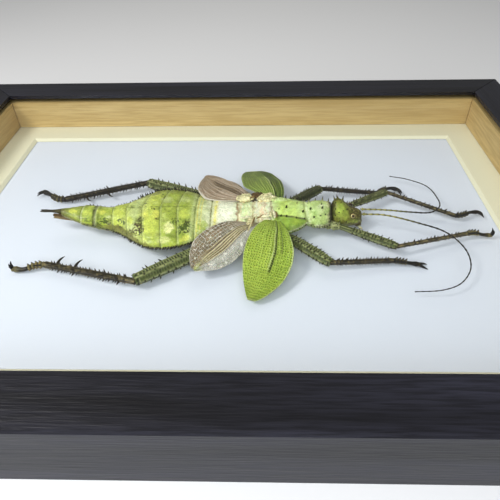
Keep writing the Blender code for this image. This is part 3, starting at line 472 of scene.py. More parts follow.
def wood_finish(name, dark, light, roughness, along, rings):
    """Wood with its grain along X or Y."""
    look = Finish(name)
    where = look.put("TexCoord").outputs["Object"]
    stretch = (0.06, 1.0, 1.0) if along == "X" else (1.0, 0.06, 1.0)
    where = look.put("Mapping", {"Vector": where, "Scale": stretch}).outputs["Vector"]
    broad = look.noise(rings, 3, where)
    fibre = look.noise(rings * 14, 5, where)
    tone = look.blend(look.span(broad, 0.3, 0.7), dark, light)
    tone = look.blend(look.span(fibre, 0.42, 0.62, 0.0, 0.6), tone, dark)
    gloss = look.span(fibre, 0.3, 0.7, roughness + 0.1, roughness)
    return look.finish(Base_Color=tone, Roughness=gloss,
                       Normal=look.bump(look.math("ADD", fibre, broad), 0.0004, 0.5))


def paper_finish(name, colour, fibre_size, depth):
    """Matt card with a faint tooth."""
    look = Finish(name)
    tone = look.blend(look.span(look.noise(9, 2), 0.3, 0.7), colour, [c * 0.97 for c in colour])
    tooth = look.bump(look.noise(fibre_size, 6), depth, 0.4)
    return look.finish(Base_Color=tone, Roughness=0.85, Normal=tooth)


def glass_finish():
    """A clear pane that lets light and shadow through and mirrors a little at its faces."""
    look = Finish("pane_glass")
    clear = look.put("BsdfTransparent", {"Color": (0.985, 0.995, 0.99, 1)})
    smear = look.span(look.noise(14, 3), 0.4, 0.6, 0.02, 0.05)
    mirror = look.put("BsdfGlossy", {"Roughness": smear})
    facing = look.put("LayerWeight", {"Blend": 0.5}).outputs["Facing"]
    edge = look.math("ADD", look.times(look.math("POWER", facing, 5.0), 0.5), 0.012)
    both = look.put("MixShader", {0: edge, 1: clear.outputs[0], 2: mirror.outputs[0]})
    look.feed(look.tree.nodes["Material Output"].inputs["Surface"], both.outputs[0])
    look.tree.nodes.remove(look.shader)
    return look.material


# The case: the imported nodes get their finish

RAIL_DARK = linear(14, 13, 17)
RAIL_LIGHT = linear(44, 44, 54)
# Each grain direction: its sides, and the oak's dark and light tone there
CASE_SIDES = {
    "X": (("near", "far"), linear(174, 144, 88), linear(218, 190, 132)),
    "Y": (("left", "right"), linear(172, 142, 88), linear(214, 186, 128)),
}
RAIL_RINGS = 90.0
OAK_RINGS = 60
BOARD_RINGS = 40


def dress_case():
    finishes = {
        "case_backboard": wood_finish("back_board", linear(120, 98, 70), linear(160, 134, 98),
                                      0.7, "X", BOARD_RINGS),
        "case_card": paper_finish("white_card", linear(226, 230, 241), 4000, 0.00004),
        "case_mat": paper_finish("cream_mat", linear(234, 228, 198), 2600, 0.00008),
        "case_glass": glass_finish(),
    }
    for along, (sides, dark, light) in CASE_SIDES.items():
        end = "_" + along.lower()
        rail = wood_finish("black_stained" + end, RAIL_DARK, RAIL_LIGHT, 0.42, along, RAIL_RINGS)
        oak = wood_finish("light_oak" + end, dark, light, 0.5, along, OAK_RINGS)
        for side in sides:
            finishes["case_rail_" + side] = rail
            finishes["case_liner_" + side] = oak
    for name, finish in finishes.items():
        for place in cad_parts[name].material_slots:
            place.material = finish


# The trunk

TRUNK_STEP = 0.3
TRUNK_SIDES = 256
LIME = linear(166, 182, 68)
BRIGHT = linear(208, 218, 96)
PALE_LIME = linear(204, 214, 150)
CREAM = linear(240, 236, 192)
WHITE_CREAM = linear(240, 240, 216)
APPLE = linear(194, 220, 108)
PALE_APPLE = linear(198, 218, 146)
PLEURA = linear(126, 156, 46)
OLIVE = linear(120, 116, 56)
EDGE_OLIVE = linear(92, 92, 48)
BROWN_SEAM = linear(150, 118, 84)
# The green of the seams' dark lines, of the painted shadow behind each step, and of the crease along
# the back
SEAM_AND_SHADE_GREEN = linear(96, 104, 44)
DARK = linear(52, 48, 28)
SPINE_DARK = linear(40, 34, 24)
SPINE_PALE = linear(158, 158, 114)
BELLY = linear(140, 136, 80)

# The tint of the back along the trunk: x, colour
BACK_TINTS = (
    (-80.0, linear(80, 72, 40)), (-77.6, linear(112, 112, 54)), (-74.0, linear(150, 160, 64)),
    (-66.0, LIME), (-60.0, linear(160, 176, 60)), (-50.0, BRIGHT), (-44.0, PALE_LIME),
    (-38.0, BRIGHT), (-28.0, LIME), (-20.0, LIME), (-15.0, PALE_LIME), (-7.0, WHITE_CREAM),
    (0.0, WHITE_CREAM), (6.0, linear(214, 228, 172)), (13.0, CREAM), (18.0, WHITE_CREAM),
    (20.0, PALE_APPLE), (24.0, APPLE), (36.0, PALE_APPLE), (40.0, PALE_APPLE),
    (47.0, linear(180, 196, 120)),
)
BROWN_BLOT = linear(66, 46, 22)
DEEP_GREEN = linear(66, 82, 22)
YELLOW = linear(232, 232, 104)
PALE_YELLOW = linear(248, 248, 172)
GREY_LIME = linear(196, 206, 132)
# Blotches: x, turn up from the left side in degrees, half length, half turn, colour, strength
BLOTCHES = (
    (-34.6, 104, 2.2, 10, YELLOW, 0.85), (-27.1, 128, 2.6, 12, PALE_YELLOW, 0.9),
    (-28.6, 154, 3.2, 9, PALE_YELLOW, 0.6), (-36.0, 124, 3.4, 20, BRIGHT, 0.7),
    (-45.8, 124, 2.2, 12, BRIGHT, 0.8), (-44.9, 102, 2.4, 11, GREY_LIME, 0.8),
    (-60.5, 106, 2.4, 14, YELLOW, 0.6), (-53.0, 108, 2.4, 13, BRIGHT, 0.8),
    (-67.0, 112, 2.6, 16, BRIGHT, 0.7), (-74.0, 110, 2.6, 20, YELLOW, 0.6),
    (-39.5, 104, 1.8, 10, YELLOW, 0.6), (-21.0, 104, 3.0, 10, BRIGHT, 0.6),
    (-19.0, 158, 3.2, 9, YELLOW, 0.6), (-30.5, 74, 3.4, 8, GREY_LIME, 0.8),
    (-22.0, 72, 3.4, 9, GREY_LIME, 0.7), (-56.5, 74, 3.4, 9, GREY_LIME, 0.6),
    (-40.9, 134, 2.8, 13, BROWN_BLOT, 1.0), (-41.0, 116, 1.8, 6, DARK, 0.9),
    (-39.9, 144, 1.3, 6, DARK, 1.0), (-42.6, 148, 2.0, 8, BROWN_BLOT, 0.7),
    (-19.7, 131, 3.2, 12, DEEP_GREEN, 0.95), (-19.0, 120, 1.8, 6, DARK, 0.6),
    (-18.6, 140, 1.6, 5, DARK, 0.7), (-24.6, 117, 2.2, 6, DEEP_GREEN, 0.9),
    (-22.4, 136, 1.5, 8, DEEP_GREEN, 0.7), (-40.3, 82, 0.8, 3.4, DARK, 1.0),
    (-36.6, 93, 0.6, 2.0, DARK, 0.9), (-35.4, 95, 0.5, 2.0, DARK, 0.9),
    (-33.4, 112, 1.2, 2.4, BROWN_BLOT, 1.0), (-33.6, 60, 0.4, 5, DARK, 0.9),
    (-32.4, 66, 0.4, 5, DARK, 0.8), (-33.0, 72, 0.4, 2, WHITE_CREAM, 1.0),
    (-58.3, 142, 2.4, 12, DEEP_GREEN, 0.9), (-56.6, 150, 1.5, 8, DARK, 0.8),
    (-50.1, 134, 2.2, 7, DEEP_GREEN, 0.95), (-51.2, 156, 1.6, 7, DARK, 1.0),
    (-55.0, 158, 1.6, 6, DARK, 0.8), (-61.8, 158, 2.2, 12, DEEP_GREEN, 0.8),
    (-67.5, 150, 2.2, 12, DEEP_GREEN, 0.5), (-46.6, 88, 0.8, 4, DARK, 0.6),
    (-44.6, 150, 2.2, 6, BROWN_BLOT, 0.8), (-52.0, 44, 2.0, 12, DARK, 0.5),
    (-44.0, 50, 2.0, 10, BROWN_BLOT, 0.5), (-37.0, 46, 2.4, 9, BROWN_BLOT, 0.5),
    (-27.0, 40, 1.6, 8, DARK, 0.5), (-12.6, 140, 3.0, 16, LIME, 0.8),
)
# The ridge along each side of the mesothorax: x, then its turn up from that side
RIDGE = ((19.0, 25.3, 28.5, 31.9, 35.4), (57.0, 54.0, 50.0, 40.0, 26.0))
# Where the olive lower margin begins: x, turn
MARGIN = (
    (-80.0, 150.0), (-66.0, 166.0), (-61.0, 160.0), (-55.0, 150.0), (-52.0, 146.0),
    (-47.0, 148.0), (-43.4, 152.0), (-40.0, 158.0), (-36.0, 163.0), (-31.0, 171.0),
    (-26.0, 176.0), (-18.0, 172.0), (-10.0, 180.0), (0.0, 190.0),
)
# Bands across the whole back: x, half length, colour, strength
BANDS = (
    (-14.9, 0.35, linear(228, 214, 104), 0.9), (-13.3, 0.3, linear(220, 206, 110), 0.8),
    (-17.2, 0.6, PALE_LIME, 0.6), (-6.8, 1.0, linear(238, 228, 120), 0.9),
    (-9.0, 0.3, linear(160, 148, 84), 0.7), (-5.0, 0.3, WHITE_CREAM, 0.7),
    (-63.2, 0.34, linear(214, 212, 184), 1.0), (-64.0, 0.5, linear(30, 26, 14), 1.0),
    (-69.5, 0.3, WHITE_CREAM, 0.4), (-61.6, 0.6, DEEP_GREEN, 0.5),
    (3.3, 0.6, BROWN_SEAM, 0.95), (4.6, 0.4, linear(226, 196, 160), 0.8),
    (10.8, 0.5, BROWN_SEAM, 0.5), (12.2, 0.8, WHITE_CREAM, 0.7), (18.4, 0.5, BROWN_SEAM, 0.5),
    (7.6, 1.6, linear(214, 230, 170), 0.5), (14.6, 0.5, linear(236, 206, 170), 0.8),
    (16.2, 0.5, linear(214, 176, 140), 0.7), (46.4, 0.7, DARK, 1.0),
)
# Turns of the creases along each flank, in degrees
FLANK_FOLDS = (150.0, 30.0)


def seam_place(place, slope, turn, wobble):
    return place + slope * np.abs(np.cos(turn)) + (0.9 if place > 0 else 0.15) * wobble


def loose_folds(points):
    """The crumpled skin between the wings, in folds along the body."""
    return rough(points * (1, 0.35, 0.35), 0.9, 10)


def trunk_relief(x, turn, points):
    """How far the skin stands in or out of the plain outline."""
    wobble = rough(points, 2.4, 3)
    height = -0.14 + 0.08 * rough(points, 2.4, 1) + 0.05 * rough(points, 1.0, 2)
    upper = ease(np.sin(turn) * 4 + 0.5)
    for place, depth, step, slope in SEAMS:
        gap = x - seam_place(place, slope, turn, wobble)
        height -= depth * bell(gap + 0.1, 0.22) * (0.4 + 0.6 * upper)
        height -= np.where(gap < 0, step * np.exp(gap / 2.2), 0)
        height += 0.12 * bell(gap - 0.5, 0.45)
        height += 0.03 * np.sin(gap * 5.0 + wobble * 2) * bell(gap - 1.6, 1.4) * upper
    loose = ease((x - 0.5) / 2) * ease((19.5 - x) / 2)
    height += loose * (0.22 * rough(points, 1.5, 9) + 0.28 * loose_folds(points))
    degrees = np.degrees(turn)
    abdomen = ease((-2 - x) / 6) * ease((x + 62) / 6)
    height -= 0.16 * bell(degrees - 89, 1.0) * abdomen
    height += 0.1 * bell(degrees - 86, 1.6) * abdomen
    for edge in (184.0, 356.0):
        height += 0.2 * bell(degrees - edge, 4.0) * ease((-4 - x) / 6)
    for fold in FLANK_FOLDS:
        height -= 0.12 * bell(degrees - fold - 3 * wobble, 1.6) * ease((-20 - x) / 4)
    ridge = np.interp(x, *RIDGE)
    meso = ease((x - 18.9) / 2) * ease((35.6 - x) / 1.5)
    for centre, side in ((ridge, 1), (180 - ridge, -1)):
        height += meso * 0.32 * bell(degrees - centre, 2.6)
        height -= meso * 0.3 * bell(degrees - centre + side * 6, 4.0)
    return height


def trunk_colour(x, turn, points):
    places, tints = zip(*BACK_TINTS)
    colour = np.stack([np.interp(x, places, column) for column in np.array(tints).T], -1)
    degrees = np.degrees(turn)
    wobble, fine, speck = rough(points, 3.0, 5), rough(points, 1.1, 6), rough(points, 0.62, 8)
    same, cloud = rough(points, 2.4, 3), rough(points, 4.5, 11)
    folds = loose_folds(points)
    abdomen = ease((-6 - x) / 8)
    back = ease(np.sin(turn) * 5 + 1)
    belly = ease((-np.sin(turn) - 0.25) / 0.3)
    top = 1 - belly
    below = degrees > 270
    far = np.where(below, 0, ease((60 - degrees) / 6))
    tail = ease((-56 - x) / 6) * (1 - below) * ease((68 - degrees) / 14)
    layers = [
        (BRIGHT, 0.5 * clamp(wobble) * abdomen),
        (LIME, 0.7 * clamp(-wobble) * abdomen),
        (linear(138, 148, 70), 0.75 * far * abdomen * (0.8 + 0.5 * wobble)),
        (linear(84, 70, 32), clamp(0.85 * tail * (0.9 + 0.8 * fine))),
        (linear(128, 146, 60), 0.55 * clamp(fine) * abdomen),
        (PALE_LIME, 0.45 * clamp(-fine - 0.1) * abdomen),
        (linear(124, 142, 56), 0.7 * clamp(cloud) * abdomen),
        (GREY_LIME, 0.7 * clamp(-cloud - 0.1) * abdomen),
    ]
    for place, up, half, spread, tint, strength in BLOTCHES:
        share = bell(x - place, half) * bell(degrees - up, spread)
        ragged = 2.4 if tint[1] < 0.2 else 0.5
        broken = ease((share * (1.25 + 0.9 * fine + ragged * speck) - 0.35) / 0.5)
        layers.append((tint, strength * broken))
    margin = np.interp(x, *np.array(MARGIN).T) + 7 * wobble + 6 * fine
    near_low = ease((degrees - margin) / 9) * (degrees < 270)
    far_low = clamp(ease((30 + 9 * wobble + 5 * fine - degrees) / 14) + below)
    lower = clamp(near_low + far_low) * ease((-2 - x) / 10)
    strong = np.interp(x, (-60, -56, -42, -34, -10), (0.6, 0.9, 0.9, 0.65, 0.4))
    loose = ease((x - 1.0) / 3) * ease((20 - x) / 3) * top
    layers += [
        (OLIVE, strong * lower),
        (DARK, 0.8 * lower * ease((speck + 0.4 * fine - 0.25) / 0.2) * strong),
        (EDGE_OLIVE, 0.8 * bell(degrees - 182.0, 5.0) * ease((-4 - x) / 6)),
        (EDGE_OLIVE, 0.8 * bell(degrees - 358.0, 5.0) * ease((-4 - x) / 6)),
        (BELLY, 0.6 * belly),
        (linear(202, 168, 120), 0.6 * loose * ease((-folds - 0.25) / 0.25)),
        (WHITE_CREAM, 0.8 * loose * ease((folds - 0.1) / 0.3)),
        (linear(206, 224, 160), 0.5 * loose * ease((wobble - 0.1) / 0.3)),
    ]
    for place, half, tint, strength in BANDS:
        share = bell(x - place - np.where(x > 1, 1.7, 0.2) * same, half) * back
        layers.append((tint, clamp(strength * share * (0.9 + 0.7 * fine))))
    # At each seam of the abdomen: a painted shadow on the plate behind, where it steps down, then the
    # seam's dark line, partly painted shade in its groove, then a pale edge on the plate in front
    for place, *_, slope in SEAMS:
        gap = x - seam_place(place, slope, turn, same)
        layers += [
            (SEAM_AND_SHADE_GREEN, 0.3 * bell(gap + 0.9, 0.8) * (0.7 + wobble) * abdomen),
            (SEAM_AND_SHADE_GREEN, 0.9 * bell(gap + 0.12, 0.32) * (0.8 + 0.5 * fine)),
            (PALE_LIME, 0.35 * bell(gap - 0.45, 0.35) * (1 - lower)),
        ] if place < 0 else [(BROWN_SEAM, 0.5 * bell(gap, 0.3) * (x < 20))]
    crease = bell(degrees - 89, 1.1) * ease((-14 - x) / 2) * ease((x + 61) / 4)
    layers.append((SEAM_AND_SHADE_GREEN, clamp(0.55 * crease * (0.6 + 1.4 * fine))))
    for fold in FLANK_FOLDS:
        line = bell(degrees - fold - 3 * same, 1.2) * ease((-22 - x) / 3) * ease((x + 46) / 4)
        layers.append((LIME, 0.7 * line))
    dusty = np.interp(x, (-75, -50, -16, -8, 2), (0.6, 0.5, 0.3, 0.05, 0.0))
    dusting = ease((speck - 0.22) / 0.15) * dusty
    ridge = np.interp(x, *RIDGE)
    meso = ease((x - 19.5) / 1.5) * ease((35.4 - x) / 1.0)
    flank = ease((degrees - (180 - ridge)) / 4) * (degrees < 270) + ease((ridge - degrees) / 4)
    brim = bell(degrees - 180, 5.0) + bell(degrees - 358, 5.0) + bell(degrees, 5.0)
    gap = x - 35.8 + 2.0 * clamp(np.sin(turn)) + 0.3 * same
    nape = ease((x - 43.6) / 2.0) * top
    thorax = ease((x - 19) / 2)
    shield = ease((x - 36) / 1.5) * top
    layers += [
        (DEEP_GREEN, 0.55 * dusting * top),
        (PLEURA, 0.85 * meso * clamp(flank) * top),
        (SPINE_DARK, 0.95 * meso * bell(degrees - ridge, 2.8)),
        (SPINE_DARK, 0.95 * meso * bell(degrees - (180 - ridge), 2.8)),
        (WHITE_CREAM, clamp(0.9 * (ease((x - 26) / 2) * brim))),
        # Painted shade in the crease between mesothorax and pronotum, then a painted highlight on the
        # pronotum's edge just ahead of it
        (linear(104, 116, 52), 0.75 * bell(gap, 0.45) * back),
        (linear(228, 238, 190), 0.7 * bell(gap - 1.2, 0.6) * top),
        (linear(226, 214, 170), 0.6 * nape * clamp(0.7 + wobble)),
        (linear(196, 214, 84), 0.5 * thorax * clamp(-wobble) * top),
        (PALE_LIME, 0.5 * thorax * clamp(wobble + 0.3 * fine) * top),
        (linear(150, 180, 92), 0.55 * shield * clamp(0.3 - 1.2 * wobble)),
    ]
    for place, up in ((38.4, 126), (44.4, 124)):
        stain = bell(x - place, 1.6) * bell(degrees - up, 12)
        layers.append((linear(132, 168, 84), 0.6 * stain * clamp(0.8 + fine)))
    patch = bell(x - 42.0, 2.0) * bell(degrees - 106, 12)
    # rim is a dark speckle along the pronotum's lower edge: painted shade between its lumps and
    # spines
    rim = bell(degrees - 186, 16) * ease((x - 35.4) / 1.0) * ease((speck + 0.5 * fine - 0.1) / 0.2)
    collar = bell(x - 46.2 - 0.7 * fine, 0.8) * top
    layers += [
        (linear(238, 240, 208), 0.7 * patch * clamp(0.8 + fine)),
        # painted shade between the lumps and spines of the pronotum's lower edge
        (SPINE_DARK, clamp(0.75 * rim)),
        (linear(120, 140, 70), 0.4 * shield * ease((speck - 0.25) / 0.2)),
        (SPINE_DARK, np.clip(1.2 * collar, 0, 0.95)),
    ]
    return layered(colour, layers)


# Rows of spines along the trunk, on both sides: first x, last x, how many, turn, length, lean
# forward, colour at the root. A row with no turn stands along the ridge
SPINE_ROWS = (
    (-68.0, -58.0, 7, -4, 0.8, -0.6, DARK), (-58.0, -46.0, 11, -4, 1.3, -0.6, DARK),
    (-46.0, -28.0, 18, -4, 1.6, -0.5, DARK), (-28.0, -8.0, 18, -4, 1.5, -0.5, DARK),
    (-55.0, -26.0, 20, -16, 0.9, -0.4, DARK), (-8.0, 2.0, 7, -4, 0.8, -0.4, OLIVE),
    (22.6, 33.6, 4, None, 2.6, 0.1, SPINE_PALE), (28.6, 35.0, 10, 0, 1.3, 0.2, SPINE_PALE),
    (37.4, 45.6, 8, -8, 1.8, 0.2, SPINE_PALE),
)
# Single spines of the back: x, turn up from the left side, length, radius, colour at the root
BACK_SPINES = (
    (25.8, 100, 1.5, 0.55, DEEP_GREEN), (33.3, 121, 1.5, 0.55, DEEP_GREEN),
    (36.8, 115, 1.4, 0.5, DEEP_GREEN), (42.2, 112, 1.6, 0.55, DEEP_GREEN),
    (38.4, 144, 1.3, 0.5, DEEP_GREEN), (41.4, 139, 0.9, 0.35, DEEP_GREEN),
    (43.6, 136, 1.1, 0.4, DEEP_GREEN), (41.9, 96, 0.8, 0.35, DEEP_GREEN),
    (30.8, 84, 0.8, 0.3, DEEP_GREEN), (22.4, 104, 0.7, 0.3, DEEP_GREEN),
    (21.0, 50, 1.6, 0.45, SPINE_PALE), (24.8, 46, 1.2, 0.4, SPINE_PALE),
    (31.0, 40, 1.4, 0.4, SPINE_PALE), (34.6, 50, 1.2, 0.35, SPINE_PALE),
    (36.6, 48, 2.2, 0.5, SPINE_PALE), (39.6, 50, 1.2, 0.4, SPINE_PALE),
    (43.0, 50, 1.9, 0.45, SPINE_PALE), (45.8, 46, 1.6, 0.4, SPINE_PALE),
)
FAR_LIFT = 0.6
FAR_RAISE = 38.0
FAR_SPINES = 0.8
THORAX_SPINES = 1.15
NEAR_SPINES = 0.75


def add_trunk_spines(shape):
    rng = np.random.default_rng(7)
    for first, last, count, turned, length, lean, tint in SPINE_ROWS:
        for k in range(count):
            jitter = rng.uniform(-0.25, 0.25) * (last - first) / count
            place = first + (last - first) * k / (count - 1) + jitter
            tall = length * rng.uniform(0.7, 1.25)
            up = np.interp(place, *RIDGE) if turned is None else turned
            wide = 0.24 * tall + (0.14 if place < 10 else 0.06)
            for far in (True, False):
                raised = FAR_RAISE if far and place < 10 else 0.0
                root, way = outline_point(TRUNK, place, up + raised if far else 180 - up)
                way = way + np.array([lean + rng.uniform(-0.2, 0.2), 0, FAR_LIFT * far])
                size = NEAR_SPINES if not far else THORAX_SPINES if place > 10 else FAR_SPINES
                stem = DEEP_GREEN if turned is None and not far else tint
                add_spine(shape, root, way, tall * size, wide, stem, SPINE_DARK)
    for place, turned, length, wide, tint in BACK_SPINES:
        root, way = outline_point(TRUNK, place, turned)
        way = way + np.array([0.15, 0, 0])
        add_spine(shape, root, way, length * 1.1, wide * 1.1, tint, SPINE_DARK)


def build_trunk():
    shape = Shape()
    ends = (TRUNK[0][0] + 0.2, TRUNK[-1][0] - 0.2)
    x = np.linspace(*ends, round((ends[1] - ends[0]) / TRUNK_STEP))[:, None]
    x, turn = np.broadcast_arrays(x, circle(TRUNK_SIDES)[None, :])
    points, out = outline(TRUNK, x, turn)
    skin = points + out * trunk_relief(x, turn, points)[..., None]
    shape.grid(skin, trunk_colour(x, turn, points))
    add_trunk_spines(shape)
    shape.make("trunk_skin", skin_finish("trunk_chitin", 0.45, 0.28, coat=0.15, speck=0.5),
               ("abdomen_rear", "abdomen_middle", "abdomen_front", "metathorax",
                              "mesothorax", "pronotum"))


# The wings

def wing_points(wing, shape, s, t):
    """The wing's plain upper face: s from root to tip, t from the front margin to the rear."""
    root, tip = np.array(wing["root"], float), np.array(wing["tip"], float)
    axis = tip - root
    along = unit(axis)
    rearward = 1 if along[0] * along[1] > 0 else -1
    back = np.array([-abs(along[1]), rearward * abs(along[0])])

    def margin(row):
        half, widest, root_power, tip_power = row
        rising = np.sin(np.pi / 2 * clamp(s / widest)) ** root_power
        falling = np.sin(np.pi / 2 * clamp((1 - s) / (1 - widest))) ** tip_power
        return WING_ROOT_HALF * (1 - s) ** 2 + half * np.where(s < widest, rising, falling)

    reach = np.where(t > 0, margin(wing["rear"]), margin(wing["front"])) * t
    place = root + s[..., None] * axis + reach[..., None] * back
    low = smooth_value(shape["droop"], np.abs(place[..., 1]), 1)
    ends = np.minimum(1, np.minimum(s, 1 - s) * 4)
    low = low - np.where(t < 0, shape["dip"] * t * t * ends, 0)
    z = shape["root_z"] + (low - shape["root_z"]) * ease(s / WING_RISE)
    half = np.where(t > 0, wing["rear"][0], wing["front"][0])
    flat = np.stack([s * np.linalg.norm(axis), t * half, np.zeros_like(s)], -1)
    return np.concatenate([place, z[..., None]], -1), flat


def both_faces(upper, under):
    """A wing's upper face, and its under face turned back beneath it."""
    return np.concatenate([upper, under[:, ::-1]], axis=1)


# Main veins: place across the wing from -1, front, to 1, rear; where each starts and fades; its
# half width; and its kind
PALE, GOLD, INK = range(3)
TEGMEN_VEINS = (
    (-0.84, 0.1, 0.9, 0.016, PALE), (-0.6, 0.1, 0.6, 0.016, PALE), (-0.5, 0.2, 0.55, 0.016, PALE),
    (-0.34, 0.0, 0.8, 0.02, PALE), (-0.22, 0.0, 0.75, 0.02, PALE), (-0.1, 0.0, 0.45, 0.02, PALE),
    (0.06, 0.0, 0.7, 0.02, PALE), (0.22, 0.0, 0.45, 0.02, PALE), (0.36, 0.0, 0.6, 0.02, PALE),
    (0.52, 0.0, 0.4, 0.02, PALE), (0.7, 0.0, 0.5, 0.02, PALE), (-0.16, 0.05, 0.5, 0.014, INK),
    (-0.02, 0.05, 0.6, 0.014, INK), (0.14, 0.05, 0.4, 0.014, INK), (0.3, 0.05, 0.5, 0.014, INK),
    (-0.28, 0.1, 0.7, 0.012, INK), (-0.7, 0.15, 0.5, 0.014, INK), (0.46, 0.05, 0.4, 0.014, INK),
)
HINDWING_VEINS = (
    (-0.86, 0.2, 0.95, 0.016, PALE), (-0.62, 0.1, 0.95, 0.016, PALE),
    (-0.46, 0.05, 0.95, 0.02, PALE), (-0.28, 0.0, 0.92, 0.026, GOLD),
    (-0.13, 0.0, 0.98, 0.03, GOLD), (0.0, 0.0, 0.99, 0.024, GOLD), (0.11, 0.0, 0.98, 0.026, GOLD),
    (0.24, 0.0, 0.8, 0.016, GOLD), (0.36, 0.0, 0.75, 0.018, PALE), (0.5, 0.0, 0.8, 0.014, PALE),
    (0.66, 0.0, 0.6, 0.014, PALE), (0.82, 0.1, 0.7, 0.014, PALE), (-0.36, 0.1, 0.9, 0.03, INK),
    (-0.2, 0.0, 0.85, 0.045, INK), (-0.06, 0.0, 0.95, 0.035, INK), (0.06, 0.0, 0.9, 0.03, INK),
    (0.175, 0.0, 0.85, 0.04, INK), (0.3, 0.0, 0.7, 0.03, INK),
)
WINGS = {
    "tegmen": (TEGMEN, TEGMEN_SHAPE, TEGMEN_VEINS),
    "hindwing": (HINDWING, HINDWING_SHAPE, HINDWING_VEINS),
}
WING_ROWS = 170
WING_COLUMNS = 180
WING_THICK = 0.42
TEGMEN_GREEN = linear(190, 214, 78)
TEGMEN_DEEP = linear(156, 186, 56)
TEGMEN_EDGE = linear(222, 232, 160)
TEGMEN_NET = linear(208, 228, 116)
FAR_OLIVE = linear(98, 122, 38)
FAR_GREY = linear(134, 152, 76)
# The dark of the painted shadow along the tegmen's fold, and of a second dark line beside it
FOLD_DARK = linear(44, 50, 18)
GREY_WING = linear(150, 130, 100)
GREY_DEEP = linear(98, 78, 54)
PINK_GREY = linear(192, 164, 138)
GREY_NET = linear(244, 236, 218)
VEIN_GOLD = linear(220, 206, 160)
FAN_CLEAR = linear(236, 232, 220)
WING_TIP = linear(204, 212, 120)
FOLD_END = 0.72
FAN_EDGE = -0.24


def build_wing(kind, side, paint, finish):
    wings, spec, veins = WINGS[kind]
    s = WING_END * np.sin(np.pi / 2 * np.linspace(0, 1, WING_ROWS))[:, None]
    s, t = np.broadcast_arrays(s, np.linspace(-1, 1, WING_COLUMNS)[None, :])
    base, flat = wing_points(wings[side], spec, s, t)
    wave = 0.03 * rough(flat, 7.0, 11) + 0.012 * rough(flat, 2.2, 19)
    ply = spec["step"] * np.minimum(1, s * 5) * ease((t + wave - spec["fold"]) / 0.04 + 0.5)
    ply = ply + (spec["step"] - ply) * ease((s - FOLD_END) / 0.12)
    veins_at = [np.zeros_like(s) for _ in (PALE, GOLD, INK)]
    for place, start, end, half, tone in veins:
        length = ease((s - start + 0.05) / 0.1) * ease((end - s) / 0.2)
        vein = bell(t + wave - place, half * (1.5 - 0.8 * s)) * length
        veins_at[tone] = np.maximum(veins_at[tone], vein)
    ripple = 0.12 * rough(flat, 4.0, 12) + 0.05 * rough(flat * (0.3, 1.6, 1), 2.0, 13)
    ripple = ripple * np.sin(np.pi * s)
    lift = 0.18 * veins_at[PALE] + 0.28 * veins_at[GOLD] - 0.12 * veins_at[INK]
    top = base.copy()
    top[..., 2] += ply + lift + ripple - 0.1
    top[..., 2] -= (1 - ease((1 - np.abs(t)) / 0.04)) * 0.12
    under = base.copy()
    under[..., 2] += ply - WING_THICK + ripple
    colours = paint(side == "left", s, t + wave, flat, veins_at)
    shape = Shape()
    shape.grid(both_faces(top, under), both_faces(colours, colours), both_faces(flat, flat))
    name = kind + "_" + side
    return shape.make(name + "_membrane", finish, (name,)), s, t


def wave_noise(flat):
    return rough(flat * (0.12, 0.5, 1), 1.2, 17)


def paint_tegmen(far, s, t, flat, veins):
    fold = TEGMEN_SHAPE["fold"]
    costal = ease((fold - t) / 0.06 + 0.5)
    green = FAR_OLIVE if far else TEGMEN_DEEP
    layers = [
        (green, clamp(0.15 + 0.4 * rough(flat, 6.0, 14) + 0.8 * far)),
        (green, (0.9 if far else 0.5) * costal),
    ]
    if far:
        lines = np.sin(t * 42 + 5 * wave_noise(flat)) * (0.6 + rough(flat, 2.0, 18))
        layers += [
            (FAR_GREY, 0.75 * (ease((0.75 - s) / 0.3) * (1 - costal))),
            (linear(66, 82, 28), clamp(0.8 * lines)),
            (linear(54, 76, 18), 0.9 * costal),
        ]
    # lit is a painted highlight along the raised edge of the rear part at the fold, dark a painted
    # shadow along the fold under that edge, and second a further dark line in the front part
    lit = bell(t - fold - 0.06, 0.025) * ease((FOLD_END - s) / 0.1)
    dark = bell(t - fold, 0.034) * ease((s - 0.02) / 0.1) * ease((FOLD_END - s) / 0.05)
    second = bell(t - fold + 0.2, 0.03) * ease((s - 0.12) / 0.1) * ease((0.52 - s) / 0.08)
    return layered(TEGMEN_GREEN, layers + [
        (TEGMEN_EDGE, (0.3 if far else 0.9) * ease((np.abs(t) - 0.945) / 0.02)),
        (TEGMEN_EDGE, 0.6 * ease((s - 0.965) / 0.015)),
        (TEGMEN_NET, 0.6 * veins[PALE]),
        (linear(104, 132, 34), 0.6 * veins[INK]),
        # painted highlight on the fold's raised edge
        (TEGMEN_EDGE, 0.8 * lit),
        (linear(206, 190, 120), 0.7 * ease((0.07 - s) / 0.05)),
        # painted shadow along the fold, with the second dark line
        (FOLD_DARK, clamp(0.95 * dark + 0.7 * second)),
    ])


